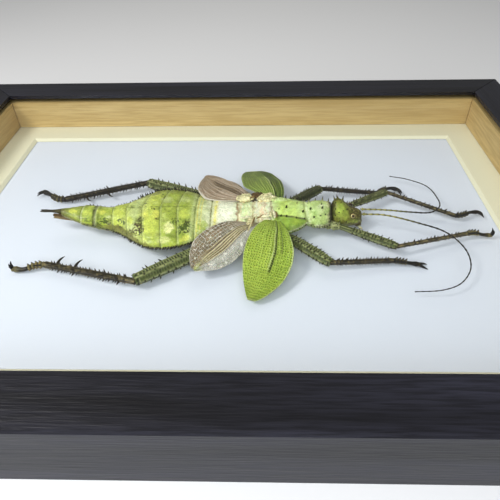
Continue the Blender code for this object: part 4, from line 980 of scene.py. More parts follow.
def paint_hindwing(far, s, t, flat, veins):
    patch = rough(flat, 5.0, 15)
    lines = rough(flat * (0.05, 1.0, 1), 1.2, 16)
    layers = [
        (GREY_DEEP, clamp(0.3 + 0.6 * patch + 0.7 * lines)),
        (PINK_GREY, 0.5 * clamp(-lines)),
    ]
    if far:
        middle = bell(t - 0.22, 0.08) * ease((0.8 - s) / 0.2)
        stripes = np.sin(t * 58 + 6 * wave_noise(flat)) * (0.5 + rough(flat, 1.6, 19))
        return layered(GREY_WING, layers + [
            (GREY_DEEP, 0.5),
            (PINK_GREY, 0.45 + 0.4 * lines),
            (GREY_DEEP, clamp(0.6 * stripes)),
            (GREY_NET, clamp(-0.35 * stripes)),
            (linear(210, 190, 168), 0.7 * np.maximum(veins[PALE], veins[GOLD])),
            (GREY_DEEP, clamp(0.9 * middle + 0.8 * veins[INK])),
            (GREY_NET, 0.6 * ease((np.abs(t) - 0.95) / 0.02)),
        ])
    dark_net = ease((t - 0.2) / 0.2) * ease((s - 0.35) / 0.3) * ease((0.95 - s) / 0.15)
    tip = ease((s - 0.88) / 0.06) * ease((0.35 - t) / 0.3)
    return layered(GREY_WING, layers + [
        (linear(96, 80, 56), 0.45 * dark_net * clamp(0.6 + patch)),
        (linear(176, 156, 132), 0.6 * ease((t - 0.6) / 0.3) * ease((s - 0.4) / 0.3)),
        (FAN_CLEAR, 0.85 * ease((FAN_EDGE - t) / 0.15)),
        (linear(112, 92, 66), 0.6 * bell(t - 0.02, 0.22) * ease((0.85 - s) / 0.4)),
        (linear(168, 164, 118), 0.6 * bell(t - 0.02, 0.25) * ease((s - 0.55) / 0.3)),
        (GREY_NET, 0.75 * veins[PALE]),
        (linear(72, 56, 36), 0.65 * veins[INK]),
        (VEIN_GOLD, veins[GOLD]),
        (WING_TIP, 0.8 * tip),
        (GREY_NET, 0.8 * ease((np.abs(t) - 0.96) / 0.02)),
    ])


def add_shares(piece, name, share):
    values = piece.data.attributes.new(name, "FLOAT", "POINT")
    values.data.foreach_set("value", both_faces(share, share).astype(np.float32).ravel())


def build_wings():
    leaf = wing_finish("tegmen_leaf", cells=0.85, uneven=0.32, thick=0.2, net=TEGMEN_NET,
                       vein_mix=0.3, depth=0.7, edge_soft=0.2, palest=0.8)
    grey = wing_finish("hindwing_net", cells=0.7, uneven=0.55, thick=0.1, net=GREY_NET,
                       vein_mix=0.85, depth=0.6, edge_soft=0.06, palest=0.1, clear=True)
    for side in ("left", "right"):
        far = side == "left"
        piece, s, t = build_wing("tegmen", side, paint_tegmen, leaf)
        add_shares(piece, "net", np.full_like(s, 0.45 if far else 1.0))
        piece, s, t = build_wing("hindwing", side, paint_hindwing, grey)
        fan = ease((FAN_EDGE - t) / 0.2) * ease((s - 0.1) / 0.2)
        rear = ease((t - 0.2) / 0.2) * ease((s - 0.1) / 0.3)
        brim = ease((np.abs(t) - 0.6) / 0.2) * ease((s - 0.3) / 0.2)
        tip = ease((s - 0.75) / 0.15)
        meshed = clamp(0.15 + 0.95 * rear + 0.6 * brim * fan + 0.35 * fan + 0.5 * tip)
        add_shares(piece, "net", np.full_like(s, 0.12) if far else meshed)
        add_shares(piece, "clear", np.full_like(s, 0.05) if far else 0.4 * fan + 0.05)


# The pale plates and struts at the wings' roots

PLATE_PALE = linear(230, 222, 174)
PLATE_CREAM = linear(238, 232, 196)
PLATE_BROWN = linear(128, 104, 62)
# The brown of a flat sheet that stands in for the shade in the gap between the far wings' roots and
# the metathorax
GAP_SHADE_BROWN = linear(78, 60, 34)
# Each plate: start, end, half width, flatness, colour; y is from the middle line outwards
FAR_PLATES = (
    ((3.2, 6.0, 14.4), (6.6, 10.4, 14.0), 0.5, 0.8, PLATE_CREAM),
    ((4.6, 10.6, 14.2), (9.6, 8.8, 14.6), 0.6, 0.7, PLATE_PALE),
    ((5.0, 7.0, 14.8), (9.2, 11.0, 14.2), 0.45, 0.8, PLATE_PALE),
    ((3.0, 8.4, 13.8), (8.0, 6.4, 14.8), 0.9, 0.5, PLATE_CREAM),
    ((8.4, 6.2, 14.6), (11.0, 8.4, 14.8), 0.5, 0.8, PLATE_BROWN),
    ((7.4, 9.0, 14.6), (8.6, 12.0, 14.0), 0.4, 0.8, PLATE_CREAM),
    # A flat brown sheet standing in for the shade seen in the gap between the far wings' roots and
    # the metathorax
    ((9.4, 10.2, 13.4), (15.4, 10.2, 13.4), 2.9, 0.16, GAP_SHADE_BROWN),
    ((12.0, 6.0, 14.6), (15.4, 10.6, 14.4), 0.5, 0.9, PLATE_PALE),
    ((14.4, 5.2, 14.8), (18.2, 9.4, 14.6), 0.6, 0.7, PLATE_CREAM),
    ((15.2, 9.6, 14.5), (19.6, 11.4, 14.2), 0.5, 0.9, PLATE_PALE),
    ((15.0, 11.2, 14.2), (18.0, 6.6, 14.9), 0.45, 0.9, PLATE_PALE),
    ((17.4, 10.8, 14.4), (20.4, 6.4, 14.9), 0.5, 0.8, PLATE_CREAM),
    ((16.4, 7.8, 14.5), (20.6, 9.2, 14.3), 0.7, 0.5, PLATE_BROWN),
    ((18.8, 5.6, 15.0), (21.6, 8.6, 14.2), 0.45, 0.9, PLATE_PALE),
    ((19.0, 5.0, 14.6), (28.4, 5.2, 13.4), 1.9, 0.75, PALE_APPLE),
    ((2.4, 7.6, 13.8), (10.6, 7.4, 14.2), 2.7, 0.36, PLATE_PALE),
    ((12.6, 6.4, 14.2), (21.0, 7.6, 14.2), 2.6, 0.36, PLATE_PALE),
)
NEAR_PLATES = (
    ((9.4, 8.0, 14.6), (8.2, 13.2, 14.7), 0.9, 0.45, PLATE_PALE),
    ((10.6, 7.8, 14.5), (8.4, 18.0, 14.6), 0.4, 0.9, VEIN_GOLD),
    ((11.4, 7.4, 14.5), (9.8, 13.0, 14.5), 0.4, 0.9, PLATE_BROWN),
    ((4.8, 7.8, 14.2), (10.0, 7.4, 14.8), 0.8, 0.5, PLATE_CREAM),
    ((10.6, 6.2, 15.0), (14.6, 7.6, 14.6), 0.7, 0.6, PLATE_CREAM),
    ((12.0, 8.6, 14.4), (15.2, 6.4, 14.8), 0.4, 0.9, PLATE_BROWN),
    ((14.4, 7.4, 14.7), (18.6, 6.6, 14.8), 0.7, 0.6, PLATE_CREAM),
    ((19.6, 3.2, 15.3), (20.4, 9.0, 14.8), 0.65, 0.7, PLATE_CREAM),
    ((18.2, 4.2, 15.1), (18.8, 8.4, 14.8), 0.4, 0.8, PLATE_PALE),
    ((20.8, 4.0, 15.0), (21.4, 8.4, 14.4), 0.4, 0.8, PLATE_BROWN),
)
PLATE_RINGS = 40
PLATE_SIDES = 36


def build_root_plates():
    shape = Shape()
    steps = np.linspace(0, 1, PLATE_RINGS)
    for sign, plates in ((-1, NEAR_PLATES), (1, FAR_PLATES)):
        sag = np.sin(np.pi * steps)[:, None] * np.array([0.2, sign * 0.2, 0.15])
        for start, end, half, flatness, tint in plates:
            a, b = (np.array((p[0], sign * p[1] + middle_y(p[0]), p[2])) for p in (start, end))
            reach = half * np.sqrt(np.clip(1 - (2 * steps - 1) ** 2, 0.01, 1)) ** 0.7
            path = a + np.outer(steps, b - a) + sag
            rings = rings_along(path, reach, PLATE_SIDES, flatness)
            crumple = np.stack([rough(rings, 1.1, seed) for seed in (51, 53, 54)], -1)
            rings = rings + (0.12 + 0.16 * half) * crumple
            edge = np.clip(0.1 + 0.9 * rough(rings, 0.8, 52), 0, 0.85)
            shape.grid(rings, mix(tint, PLATE_BROWN, edge))
    shape.make("wing_root_plates", leg_skin)


# The legs

LEG_OLIVE = linear(68, 74, 34)
LEG_GREEN = linear(86, 98, 52)
# Pale of the legs: a painted highlight on the thighs' ridges and rib crests, and the pale of coxae,
# spine roots and knees
LEG_RIDGE = linear(190, 192, 136)
# Dark of the legs: painted shade in the thighs' valleys and rib troughs, and the dark of knee spikes
# and of the head's front
LEG_DARK = linear(26, 28, 14)
CLAW_DARK = linear(18, 15, 12)
SHIN_BROWN = linear(36, 30, 18)
# The shin's pale: its own colour, and on its ridges a painted highlight
SHIN_LIGHT = linear(142, 128, 88)
FOOT_DARK = linear(26, 22, 16)
FOOT_LIGHT = linear(134, 122, 78)
# The foot's joints: place out of 24 along it, share of its radius
FOOT_PROFILE = (
    (0, 0.95), (1, 0.75), (2.2, 0.95), (3, 1.15), (3.5, 0.7), (5.2, 0.9), (6, 1.12), (6.5, 0.68),
    (8.2, 0.88), (9, 1.1), (9.5, 0.66), (11.2, 0.86), (12, 1.06), (12.5, 0.62), (18, 0.66),
    (22, 0.9), (24, 0.75),
)
FOOT_FULL = 1.35
CLAW_L = 3.9
CLAW_R = 0.78
CLAW_CURL = 88
# Each foot's claws: the way they leave it and the way they curl, both along the foot, to the
# left and up; and the angle between a claw and their middle line
CLAW_TURNS = {
    "fore_right": ((0.7, 0.0, 0.7), (-0.7, 0.1, 0.8), 22.0),
    "fore_left": ((0.9, -0.4, 0.0), (0.0, -1.0, -0.2), 30.0),
    "mid_right": ((1.0, 0.0, 0.1), (0.9, 0.0, -0.4), 38.0),
    "mid_left": ((0.9, -0.2, -0.1), (-0.1, -0.9, -0.3), 26.0),
    "hind_right": ((0.7, 0.0, 0.7), (-0.5, 0.1, 0.9), 20.0),
    "hind_left": ((1.0, -0.9, 0.1), (0.3, -1.0, -0.1), 30.0),
}
# Each leg's own tint: how green its thigh is, how dark its shin and foot are
LEG_TINTS = {
    "fore_right": (0.5, 0.42, 0.35), "fore_left": (0.2, 0.55, 0.95), "mid_right": (0.6, 0.55, 0.85),
    "mid_left": (0.1, 0.75, 0.9), "hind_right": (0.6, 0.55, 0.3), "hind_left": (0.3, 0.75, 0.85),
}
# Rows of spines along the thigh: turn, how many, share of each pair's spine length
THIGH_ROWS = ((0, 9, 0.9), (60, 11, 1.0), (120, 9, 0.8), (180, 11, 1.0), (240, 7, 0.8), (300, 5, 0.6))
THIGH_SPINE = {"fore": 1.3, "mid": 1.6, "hind": 1.6}
# Rows of teeth along the shin: turn, share of a tooth's length; then each pair's count and
# length of teeth
SHIN_ROWS = ((45, 1.0), (135, 1.0), (225, 1.0), (315, 0.7), (180, 0.6), (0, 0.6))
SHIN_TEETH = {"fore": (14, 0.8), "mid": (19, 1.15), "hind": (26, 1.15)}
LONG_TOOTH = 1.5
LONG_EVERY = 5
HOOK_L = 5.2
HOOK_RISE = {"hind_right": 0.45, "hind_left": -0.15}
SHIN_HOOKS = {"hind_right": (0.66, 0.86), "hind_left": (0.5, 0.75)}
RINGS_A_MM = 6
# The knee's lobes and spikes: turn, length, half width
KNEE_SPIKES = (
    (5, 2.0, 0.7), (175, 2.0, 0.7), (45, 1.3, 0.5), (135, 1.3, 0.5), (90, 1.0, 0.8), (25, 1.6, 0.4),
    (155, 1.6, 0.4), (-25, 1.4, 0.6), (205, 1.4, 0.6),
)
DARK_THIGH = 0.55
COXA_SPINES = 14
RIB_PITCH = 1.25
THIGH_SIDES = 72
SHIN_TURN = math.pi / 4
INSET_END = 0.24
COXA_RINGS = 14
SHIN_RINGS = 170
FOOT_RINGS = 145
PAD_RINGS = 10
SHIN_SIDES = 48


def ridged(path, radii, sides, ridges, depth, turn0=0.0):
    """Rings with lengthwise ridges, and how deep in a valley each point is."""
    valley = 0.5 * (1 - np.cos(ridges * (circle(sides) - turn0)))
    reach = np.asarray(radii)[:, None] * (1 - depth * valley[None, :])
    return rings_along(path, reach, sides), np.broadcast_to(valley, reach.shape)


def limb_spines(rng, rows, first, span, length):
    """Each spine of some rows: its row's turn and share, its number, its place and length."""
    for turned, count, share in rows:
        for k in range(count):
            s = first + span * (k + rng.uniform(0.2, 0.8)) / count
            yield turned, share, k, s, length * share * rng.uniform(0.6, 1.2)


def build_thigh(name, pair, rng, joints, inset, green):
    coxa_r, neck_r, thigh_r, knee_r = LEG_RADII[pair][:4]
    inside, hip, knee = joints
    shape = Shape()
    long = np.linalg.norm(knee - hip)
    places = np.linspace(0, 1, round(long * RINGS_A_MM))
    profile = ((0.0, neck_r / thigh_r), *THIGH_PROFILE[pair], (1.0, knee_r / thigh_r))
    reach = smooth_value(profile, places, 1) * thigh_r * 0.97
    path = hip + np.outer(places, knee - hip) + ease(places / INSET_END)[:, None] * inset
    rings, valley = ridged(path, reach, THIGH_SIDES, 6, 0.15)
    phase = places[:, None] * long + 0.5 * rough(rings, 5.0, 20)
    ladder = 0.3 + 0.7 * bell(circle(THIGH_SIDES) - np.pi / 2, 0.5)
    ribs = np.sin(phase * 2 * np.pi / RIB_PITCH) * valley * ladder
    body = (ease((places - 0.12) / 0.1) * ease((0.95 - places) / 0.05))[:, None]
    bumpy = 0.13 * ribs * body + 0.06 * rough(rings, 1.0, 21) - 0.1
    rings = rings + ways_out(rings, path) * bumpy[..., None]
    main = mix(LEG_OLIVE, LEG_GREEN, green)
    # The thigh's own colour, with painted shade in the valleys between its ridges and painted
    # highlights on the ridges; the cross ribs dark in their troughs and pale on their crests, partly
    # its own dark chevrons and partly painted shade and highlight
    colour = layered(main, [
        (LEG_DARK, clamp(0.35 * valley + 0.4 * rough(rings, 2.0, 22))),
        (LEG_DARK, 0.75 * clamp(-ribs) * body),
        (LEG_RIDGE, 0.62 * (1 - valley) ** 3 * (0.6 + 0.5 * rough(rings, 1.2, 23))),
        (LEG_RIDGE, 0.5 * clamp(ribs) * body),
    ])
    shape.grid(rings, colour * DARK_THIGH if green < 0.2 else colour)
    steps = np.linspace(0, 1, COXA_RINGS)
    reach_in = np.interp(steps, (0, 0.75, 1), (coxa_r, coxa_r, neck_r)) * 0.96
    coxa = rings_along(np.linspace(inside, hip, COXA_RINGS), reach_in, 32)
    coxa = coxa + 0.3 * rough(coxa, 1.3, 28)[..., None]
    shape.grid(coxa, mix(main, LEG_RIDGE, clamp(0.45 + 0.6 * rough(coxa, 1.3, 24))))
    level, up = across(hip - inside)
    for _ in range(COXA_SPINES):
        angle = rng.uniform(0, 2 * math.pi)
        way = level * math.cos(angle) + up * abs(math.sin(angle))
        root = inside + (hip - inside) * rng.uniform(0.3, 0.95) + way * coxa_r * 0.85
        add_spine(shape, root, way, rng.uniform(0.7, 1.4), 0.42, LEG_RIDGE, SPINE_DARK)
    level, up = across(knee - hip)
    ahead = unit(knee - hip)
    for turned, _, _, s, tall in limb_spines(rng, THIGH_ROWS, 0.2, 0.74, THIGH_SPINE[pair]):
        way = turned_way(level, up, turned)
        out = way * np.interp(s, places, reach) * 0.93
        root = hip + (knee - hip) * s + ease(s / INSET_END) * inset + out
        add_spine(shape, root, way + ahead * rng.uniform(0.2, 0.7), tall, 0.2 + 0.2 * tall,
                  LEG_OLIVE, SPINE_DARK)
    for turned, tall, wide in KNEE_SPIKES:
        way = turned_way(level, up, turned)
        root = hip + (knee - hip) * 0.965 + inset + way * knee_r * 0.75
        add_spine(shape, root, way * 0.7 + ahead, tall * thigh_r / 3, wide * thigh_r / 3,
                  LEG_RIDGE, LEG_DARK)
    shape.make(name + "_thigh_skin", leg_skin, (name + "_femur",))


def build_shin(name, pair, rng, knee, ankle, inward, dark):
    top_r, low_r = LEG_RADII[pair][4:6]
    shape = Shape()
    places = np.linspace(0.0, 1, SHIN_RINGS)
    reach = np.interp(places, (0, 0.05, 0.15, 0.5, 0.85, 0.94, 0.985, 1),
                      (top_r * 0.9, top_r * 0.88, top_r * 0.86, (top_r + low_r) / 2,
                       low_r * 1.02, low_r * 1.16, low_r * 1.16, low_r * 0.8))
    path = knee + np.outer(places, ankle - knee)
    rings, valley = ridged(path, reach, SHIN_SIDES, 4, 0.2, SHIN_TURN)
    rings = rings + ways_out(rings, path) * (0.09 * rough(rings, 0.9, 27))[..., None]
    # Darker in the valleys between the shin's ridges, a painted shade, which leaves the ridges pale
    # as painted highlights; dark and the noise are its own colour
    brown = clamp(dark + 0.5 * valley + 0.6 * rough(rings, 1.2, 25))
    colour = mix(SHIN_LIGHT, SHIN_BROWN, brown)
    shape.grid(rings, colour * 0.7 if dark > 0.7 else colour)
    level, up = across(ankle - knee)
    ahead = unit(ankle - knee)
    count, length = SHIN_TEETH[pair]
    rows = [(turned, count, share) for turned, share in SHIN_ROWS]
    for turned, share, k, s, tall in limb_spines(rng, rows, 0.08, 0.86, length):
        if k % LONG_EVERY == 2 and share == 1.0:
            tall *= LONG_TOOTH
        way = turned_way(level, up, turned)
        root = knee + (ankle - knee) * s + way * np.interp(s, places, reach) * 0.92
        add_spine(shape, root, way + ahead * 0.5, tall, 0.26 + 0.2 * tall, SHIN_BROWN, SPINE_DARK)
    side = name.removeprefix("leg_")
    out = level * inward + up * HOOK_RISE.get(side, 0.0)
    for s in SHIN_HOOKS.get(side, ()):
        root = knee + (ankle - knee) * s + out * low_r * 0.8
        add_hook(shape, root, out + ahead * 0.1, -ahead, HOOK_L, 0.7, 62, SHIN_BROWN, SPINE_DARK)
    shape.make(name + "_shin_skin", leg_skin, (name + "_tibia",))


def build_foot(name, pair, ankle, toe, dark):
    side = name.removeprefix("leg_")
    foot_r = LEG_RADII[pair][6]
    full = foot_r * FOOT_FULL
    shape = Shape()
    route = smooth_path((ankle, *FOOT_BENDS.get(side, ()), toe), FOOT_RINGS)
    places = np.linspace(0, 24, FOOT_RINGS)
    reach = np.interp(places, *np.array(FOOT_PROFILE).T) * foot_r * FOOT_FULL
    rings = rings_along(route, reach, 28, 0.9)
    joint = np.clip(1 - reach / full, 0, 0.4)[:, None] * 2.4
    lobe = (places % 3 > 2.1)[:, None] * (places < 13)[:, None]
    brown = clamp(dark + joint * 0.8 - 0.35 * lobe + 0.3 * rough(rings, 0.8, 26))
    shape.grid(rings, mix(FOOT_LIGHT, FOOT_DARK, brown))
    level, up = across(toe - ankle)
    for k in range(1, 5):
        at = route[k * 18 - 3]
        size = full * (1.15 - 0.08 * k)
        for sign in (-1, 1):
            root = at + level * sign * size * 0.5 + up * size * 0.3
            way = level * sign * 0.6 + up * 0.8 + (toe - ankle) / 20
            add_spine(shape, root, way, 1.5, 0.85, FOOT_DARK, CLAW_DARK)
    forward = unit(route[-1] - route[-2])
    level, up = across(forward)
    swell = np.sqrt(np.clip(1 - np.linspace(-1, 1, PAD_RINGS) ** 2, 0.02, 1))
    pad_path = toe + np.outer(np.linspace(-0.6, 1.0, PAD_RINGS), forward)
    shape.grid(rings_along(pad_path, swell * foot_r * 1.15, 18, 0.7),
               mix(FOOT_LIGHT, FOOT_DARK, dark))
    *ways, spread = CLAW_TURNS[side]
    start, end = (forward * w[0] + np.array([0, w[1], w[2]]) for w in ways)
    start = unit(start)
    spread = math.radians(spread)
    for sign in (-1, 1):
        away = start * math.cos(spread) + level * sign * math.sin(spread)
        add_hook(shape, toe, away, end, CLAW_L, CLAW_R, CLAW_CURL, FOOT_DARK, CLAW_DARK)
    shape.make(name + "_foot_skin", leg_skin, (name + "_tarsus",))


def build_leg(leg, joints):
    pair = leg.split("_")[0]
    name = "leg_" + leg
    inside, hip, knee, ankle, toe = (np.array(p) for p in joints)
    green, shin_dark, foot_dark = LEG_TINTS[leg]
    rng = np.random.default_rng(sum(ord(c) for c in leg))
    level = across(knee - hip)[0]
    inward = -1 if level[1] * knee[1] > 0 else 1
    inset = level * inward * THIGH_INSET[pair]
    build_thigh(name, pair, rng, (inside, hip, knee), inset, green)
    build_shin(name, pair, rng, knee, ankle, inward, shin_dark)
    build_foot(name, pair, ankle, toe, foot_dark)


# The head

HEAD_GREEN = linear(172, 190, 82)
HEAD_OLIVE = linear(112, 112, 48)
HEAD_BROWN = linear(82, 72, 40)
PALP_PALE = linear(214, 208, 170)
# The head's spines: x, turn up from the left side, length, lean forward
CREST_SPINES = (
    (49.8, 146, 1.1, 0.1), (53.6, 120, 1.2, 0.2), (49.4, 79, 2.0, -0.3), (48.3, 60, 1.7, -0.3),
    (52.1, 66, 1.9, 0.2), (50.8, 104, 0.8, 0.0), (51.8, 134, 0.7, 0.1), (55.0, 94, 1.0, 0.4),
    (54.6, 52, 1.2, 0.3), (50.4, 42, 1.5, 0.0), (56.6, 70, 0.9, 0.5), (48.3, 108, 1.1, -0.3),
    (48.2, 134, 1.0, -0.3), (48.2, 158, 1.0, -0.3), (50.5, 178, 0.9, 0.0), (53.5, 174, 0.8, 0.2),
    (50.5, 30, 1.4, 0.0), (53.0, 36, 1.2, 0.2), (56.4, 112, 0.8, 0.4), (57.2, 132, 0.6, 0.4),
)
EYE_AT = (56.4, 4.1, 11.2)
EYE_R = 1.3
HEAD_RINGS = 64
HEAD_SIDES = 120
# The upper lip and a jaw: x, y out from the head's middle line, z, radius
LIP = ((59.6, 0, 5.2, 1.6), (60.4, 0, 5.1, 2.1), (61.1, 0, 5.0, 2.0), (61.7, 0, 4.9, 1.3),
       (62.0, 0, 4.8, 0.4))
JAW = ((59.0, 1.8, 4.8, 1.2), (60.0, 1.8, 4.5, 1.3), (61.0, 1.3, 4.1, 1.0), (61.5, 0.7, 3.8, 0.3))
# Each palp on a side: root, elbow and tip
PALPS = (
    ((59.6, 2.2, 4.4), (61.1, 3.1, 3.5), (62.1, 2.7, 2.2)),
    ((59.6, 1.0, 4.4), (60.7, 1.9, 3.2), (61.4, 1.5, 1.5)),
)
PALP_RINGS = 24
EYE_RINGS = 24


def head_colour(x, turn, points):
    degrees = np.degrees(turn)
    front = ease((x - 53.2) / 3.4)
    low = ease((-np.sin(turn) + 0.1) / 0.4)
    wobble = rough(points, 1.6, 33)
    dome = bell(x - 51.2, 3.4) * bell(degrees - 136, 34)
    far = ease((98 - degrees) / 16)
    cheek = bell(x - 57.5, 2.2) * bell(degrees - 168, 16)
    dots = rough(points, 0.8, 35)
    return layered(HEAD_GREEN, [
        (HEAD_OLIVE, clamp(1.0 - dome + 0.5 * wobble + 0.5 * low)),
        (HEAD_BROWN, clamp(front * (0.8 + 0.5 * wobble) * (1 - 0.7 * dome))),
        (linear(66, 56, 28), 0.85 * far * clamp(0.8 + wobble)),
        (HEAD_GREEN, 0.6 * cheek),
        (LEG_DARK, 0.5 * front * ease((rough(points, 0.9, 34) - 0.1) / 0.3)),
        (linear(168, 160, 96), 0.55 * front * ease((-dots - 0.25) / 0.2)),
        (SPINE_DARK, 0.7 * ease((dots - 0.3) / 0.2) * clamp(1.1 - 1.2 * dome)),
        (SPINE_DARK, 0.85 * bell(x - 47.2 - 0.6 * wobble, 0.8)),
    ])


def build_head():
    shape = Shape()
    x = np.linspace(HEAD[0][0], HEAD[-1][0], HEAD_RINGS)[:, None]
    x, turn = np.broadcast_arrays(x, circle(HEAD_SIDES)[None, :])
    points, out = outline(HEAD, x, turn)
    relief = -0.08 + 0.1 * rough(points, 1.8, 31) + 0.05 * rough(points, 0.7, 32)
    shape.grid(points + out * relief[..., None], head_colour(x, turn, points))
    for place, turned, length, lean in CREST_SPINES:
        root, way = outline_point(HEAD, place, turned)
        add_spine(shape, root, way + np.array([lean, 0, 0]), length, 0.24 + 0.16 * length,
                  HEAD_OLIVE, SPINE_DARK)
    middle = float(middle_y(60.5))
    swell = 0.42 + 0.1 * np.abs(np.sin(np.linspace(0, 3 * np.pi, PALP_RINGS)))
    swell[-2:] *= 0.6

    def mouthpart(table, sign, sides, flatten, tint):
        path = [(ahead, middle + sign * aside, up) for ahead, aside, up, _ in table]
        shape.grid(rings_along(path, [row[3] for row in table], sides, flatten), tint)

    mouthpart(LIP, 1, 24, 0.85, HEAD_OLIVE)
    for sign in (-1, 1):
        mouthpart(JAW, sign, 20, 1.0, HEAD_BROWN)
        for palp in PALPS:
            route = smooth_path([(p[0], middle + sign * p[1], p[2]) for p in palp], PALP_RINGS)
            shape.grid(rings_along(route, swell, 12), PALP_PALE)
    shape.make("head_skin", skin_finish("head_chitin", 0.5, 0.2), ("head",))


def build_eyes():
    share = np.linspace(0.02, np.pi - 0.02, EYE_RINGS)
    ring = np.interp(share, (0, 2.1, 2.35, 2.7, 3.14), (0.0, 0.0, 1.0, 0.1, 0.0))
    colour = mix(linear(60, 46, 28), linear(196, 180, 120), ring)[:, None, :]
    for side, sign in (("left", 1), ("right", -1)):
        shape = Shape()
        centre = np.array([EYE_AT[0], middle_y(EYE_AT[0]) + sign * EYE_AT[1], EYE_AT[2]])
        path = centre + np.outer(-np.cos(share) * EYE_R, unit(np.array([0.1, sign * 0.85, 0.5])))
        shape.grid(rings_along(path, np.sin(share) * EYE_R, 32), colour)
        shape.make("eye_" + side + "_ball", eye_skin, ("eye_" + side,))


# The feelers

FEELER_ROUTES = {
    "right": ((60.9, -0.5, 10.7), (71.5, -2.3, 11.4), (85.8, -7.0, 10.4), (97.0, -11.9, 9.0),
              (103.0, -21.2, 7.4), (102.7, -31.3, 6.0), (96.5, -39.8, 5.0), (88.0, -43.4, 4.5),
              (76.7, -43.9, 4.0)),
    "left": ((60.9, 3.3, 10.7), (71.5, 1.5, 11.6), (85.0, 1.8, 10.0), (94.0, 3.4, 8.6),
             (100.0, 9.0, 7.7), (101.4, 16.0, 7.2), (99.3, 28.5, 6.4), (91.4, 36.4, 5.6),
             (82.7, 40.5, 5.0)),
}
FEELER_JOINTS = 34


def build_feelers():
    for side, route in FEELER_ROUTES.items():
        shape = Shape()
        path = smooth_path(route, FEELER_JOINTS * 10 + 1)
        share = np.linspace(0, 1, len(path))
        reach = np.interp(share, (0, 0.5, 1), (0.46, 0.34, 0.22))
        joint = (share * FEELER_JOINTS) % 1
        reach = reach * (0.8 + 0.32 * ease((joint - 0.3) / 0.6) * ease((1 - joint) / 0.12))
        scape = ease(share * 80) * ease((0.016 - share) / 0.004 + 0.5)
        rings = rings_along(path, np.maximum(reach, 0.78 * scape), 12)
        base = mix(linear(152, 146, 88), linear(30, 26, 18), ease((share - 0.1) / 0.25))
        ringed = mix(base, SPINE_DARK, 0.9 * bell(joint - 1.0, 0.16) + 0.9 * bell(joint, 0.12))
        shape.grid(rings, ringed[:, None, :])
        names = ["antenna_" + side + "_" + str(k) for k in (1, 2, 3)]
        shape.make("antenna_" + side + "_skin", leg_skin, names)


# The ovipositor

BEAK_RINGS = 40
LOWER_SIDES = 36


def build_ovipositor():
    upper = Shape()
    share = np.linspace(0, 1, BEAK_RINGS)
    for sign in (-1, 1):
        apart = 0.55 * ease((share - 0.45) / 0.4) * sign
        path = np.stack([-80.0 - 10.1 * share, apart, 12.4 + 0.4 * share], -1)
        reach = np.interp(share, (0, 0.2, 0.45, 0.7, 0.96, 1), (1.6, 1.15, 0.8, 0.58, 0.36, 0.08))
        colour = mix(linear(100, 92, 52), linear(44, 38, 26), ease(share * 1.8))[:, None, :]
        upper.grid(rings_along(path, reach, 24, 0.7), colour)
    upper.make("ovipositor_upper_skin", leg_skin, ("ovipositor_upper",))
    lower = Shape()
    turn = circle(LOWER_SIDES)
    half = np.interp(share, (0, 0.3, 0.7, 1), (2.1, 2.1, 1.65, 1.2))[:, None]
    deep = np.interp(share, (0, 0.3, 0.7, 1), (0.8, 0.9, 1.15, 1.15))[:, None]
    notch = 1.2 * ease((share - 0.9) / 0.1)[:, None] * bell(np.sin(turn) - 0.2, 0.5)
    hollow = 0.55 * bell(np.cos(turn), 0.6) * (np.sin(turn) > 0)
    rings = np.zeros((BEAK_RINGS, LOWER_SIDES, 3))
    rings[..., 0] = (-70.8 - 14.0 * share)[:, None] + notch
    rings[..., 1] = half * np.cos(turn)
    rings[..., 2] = (7.9 + 2.0 * share)[:, None] + deep * np.sin(turn) * (1 - hollow)
    streak = bell(np.sin(turn) + 0.1, 0.3)[None, :] * np.ones((BEAK_RINGS, 1))
    colour = mix(linear(118, 92, 58), linear(188, 168, 120), 0.6 * streak)
    lower.grid(rings, mix(colour, DARK, 0.3 + 0.3 * rough(rings, 1.2, 41)))
    lower.make("ovipositor_lower_skin", leg_skin, ("ovipositor_lower",))


# The stage

CAMERA_AT = (0.0155, -0.18555, 0.1531)
CAMERA_DOWN = 41.31
CAMERA_YAW = 2.213
CAMERA_ROLL = 1.476
CAMERA_LENS = 34.6
FLOOR_HALF = 3.0
FLOOR_DROP = 0.0002
SKY = (0.96, 0.97, 0.98, 1)
SKY_STRENGTH = 0.27
# Each soft light: its place, width, power and colour
LIGHTS = {
    "key": ((-0.33, -0.20, 0.45), 0.15, 1.95, (1.0, 0.985, 0.97)),
    "fill": ((0.0, 0.42, 0.60), 0.35, 0.65, (1.0, 0.95, 0.84)),
    "near": ((0.0, -0.47, 0.34), 0.5, 2.9, (0.89, 0.94, 1.0)),
}


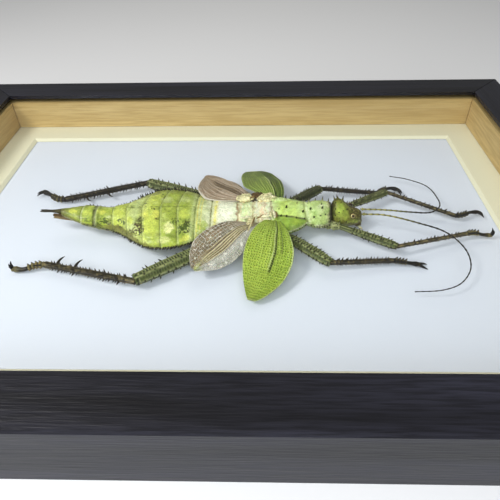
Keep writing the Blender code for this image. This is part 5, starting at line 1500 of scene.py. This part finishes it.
def build_floor():
    floor = bpy.data.meshes.new("floor")
    corners = [(x * FLOOR_HALF, y * FLOOR_HALF, 0) for x, y in ((-1, -1), (1, -1), (1, 1), (-1, 1))]
    floor.from_pydata(corners, [], [(0, 1, 2, 3)])
    look = Finish("floor_paper")
    tone = look.blend(look.noise(3, 2), (0.80, 0.80, 0.80), (0.84, 0.84, 0.84))
    floor.materials.append(look.finish(Base_Color=tone, Roughness=0.9))
    obj = add_object("floor", floor)
    obj.location.z = -FLOOR_DROP


def build_camera():
    camera = bpy.data.cameras.new("camera")
    camera.lens = CAMERA_LENS
    camera.sensor_width = 36.0
    camera.clip_start = 0.01
    eye = add_object("camera", camera)
    down, yaw, roll = (math.radians(a) for a in (CAMERA_DOWN, CAMERA_YAW, CAMERA_ROLL))
    level = Vector((math.cos(yaw), math.sin(yaw), 0))
    flat_ahead = Vector((-math.sin(yaw) * math.cos(down), math.cos(yaw) * math.cos(down), 0))
    ahead = flat_ahead + Vector((0, 0, -math.sin(down)))
    under = ahead.cross(level)
    right = level * math.cos(roll) + under * math.sin(roll)
    below = under * math.cos(roll) - level * math.sin(roll)
    turn = Matrix((right, -below, -ahead)).transposed()
    eye.matrix_world = Matrix.Translation(CAMERA_AT) @ turn.to_4x4()
    bpy.context.scene.camera = eye


def build_lights():
    world = bpy.data.worlds.new("studio")
    world.use_nodes = True
    background = world.node_tree.nodes["Background"]
    background.inputs[0].default_value = SKY
    background.inputs[1].default_value = SKY_STRENGTH
    bpy.context.scene.world = world
    bpy.context.scene.view_settings.view_transform = "Standard"
    for name, (place, size, power, tint) in LIGHTS.items():
        light = bpy.data.lights.new(name, "AREA")
        light.size = size
        light.energy = power
        light.color = tint
        lamp = add_object(name, light)
        lamp.location = place
        lamp.visible_glossy = name == "key"
        lamp.rotation_euler = (-Vector(place)).to_track_quat("-Z", "Y").to_euler()


leg_skin = skin_finish("leg_chitin", 0.5, 0.22, 0.00008)
eye_skin = skin_finish("eye_chitin", 0.2, 0.1, 0.00003, coat=0.6)
dress_case()
build_trunk()
build_wings()
build_root_plates()
for leg_name, leg_joints in LEGS.items():
    build_leg(leg_name, leg_joints)
build_head()
build_eyes()
build_feelers()
build_ovipositor()
build_floor()
build_camera()
build_lights()
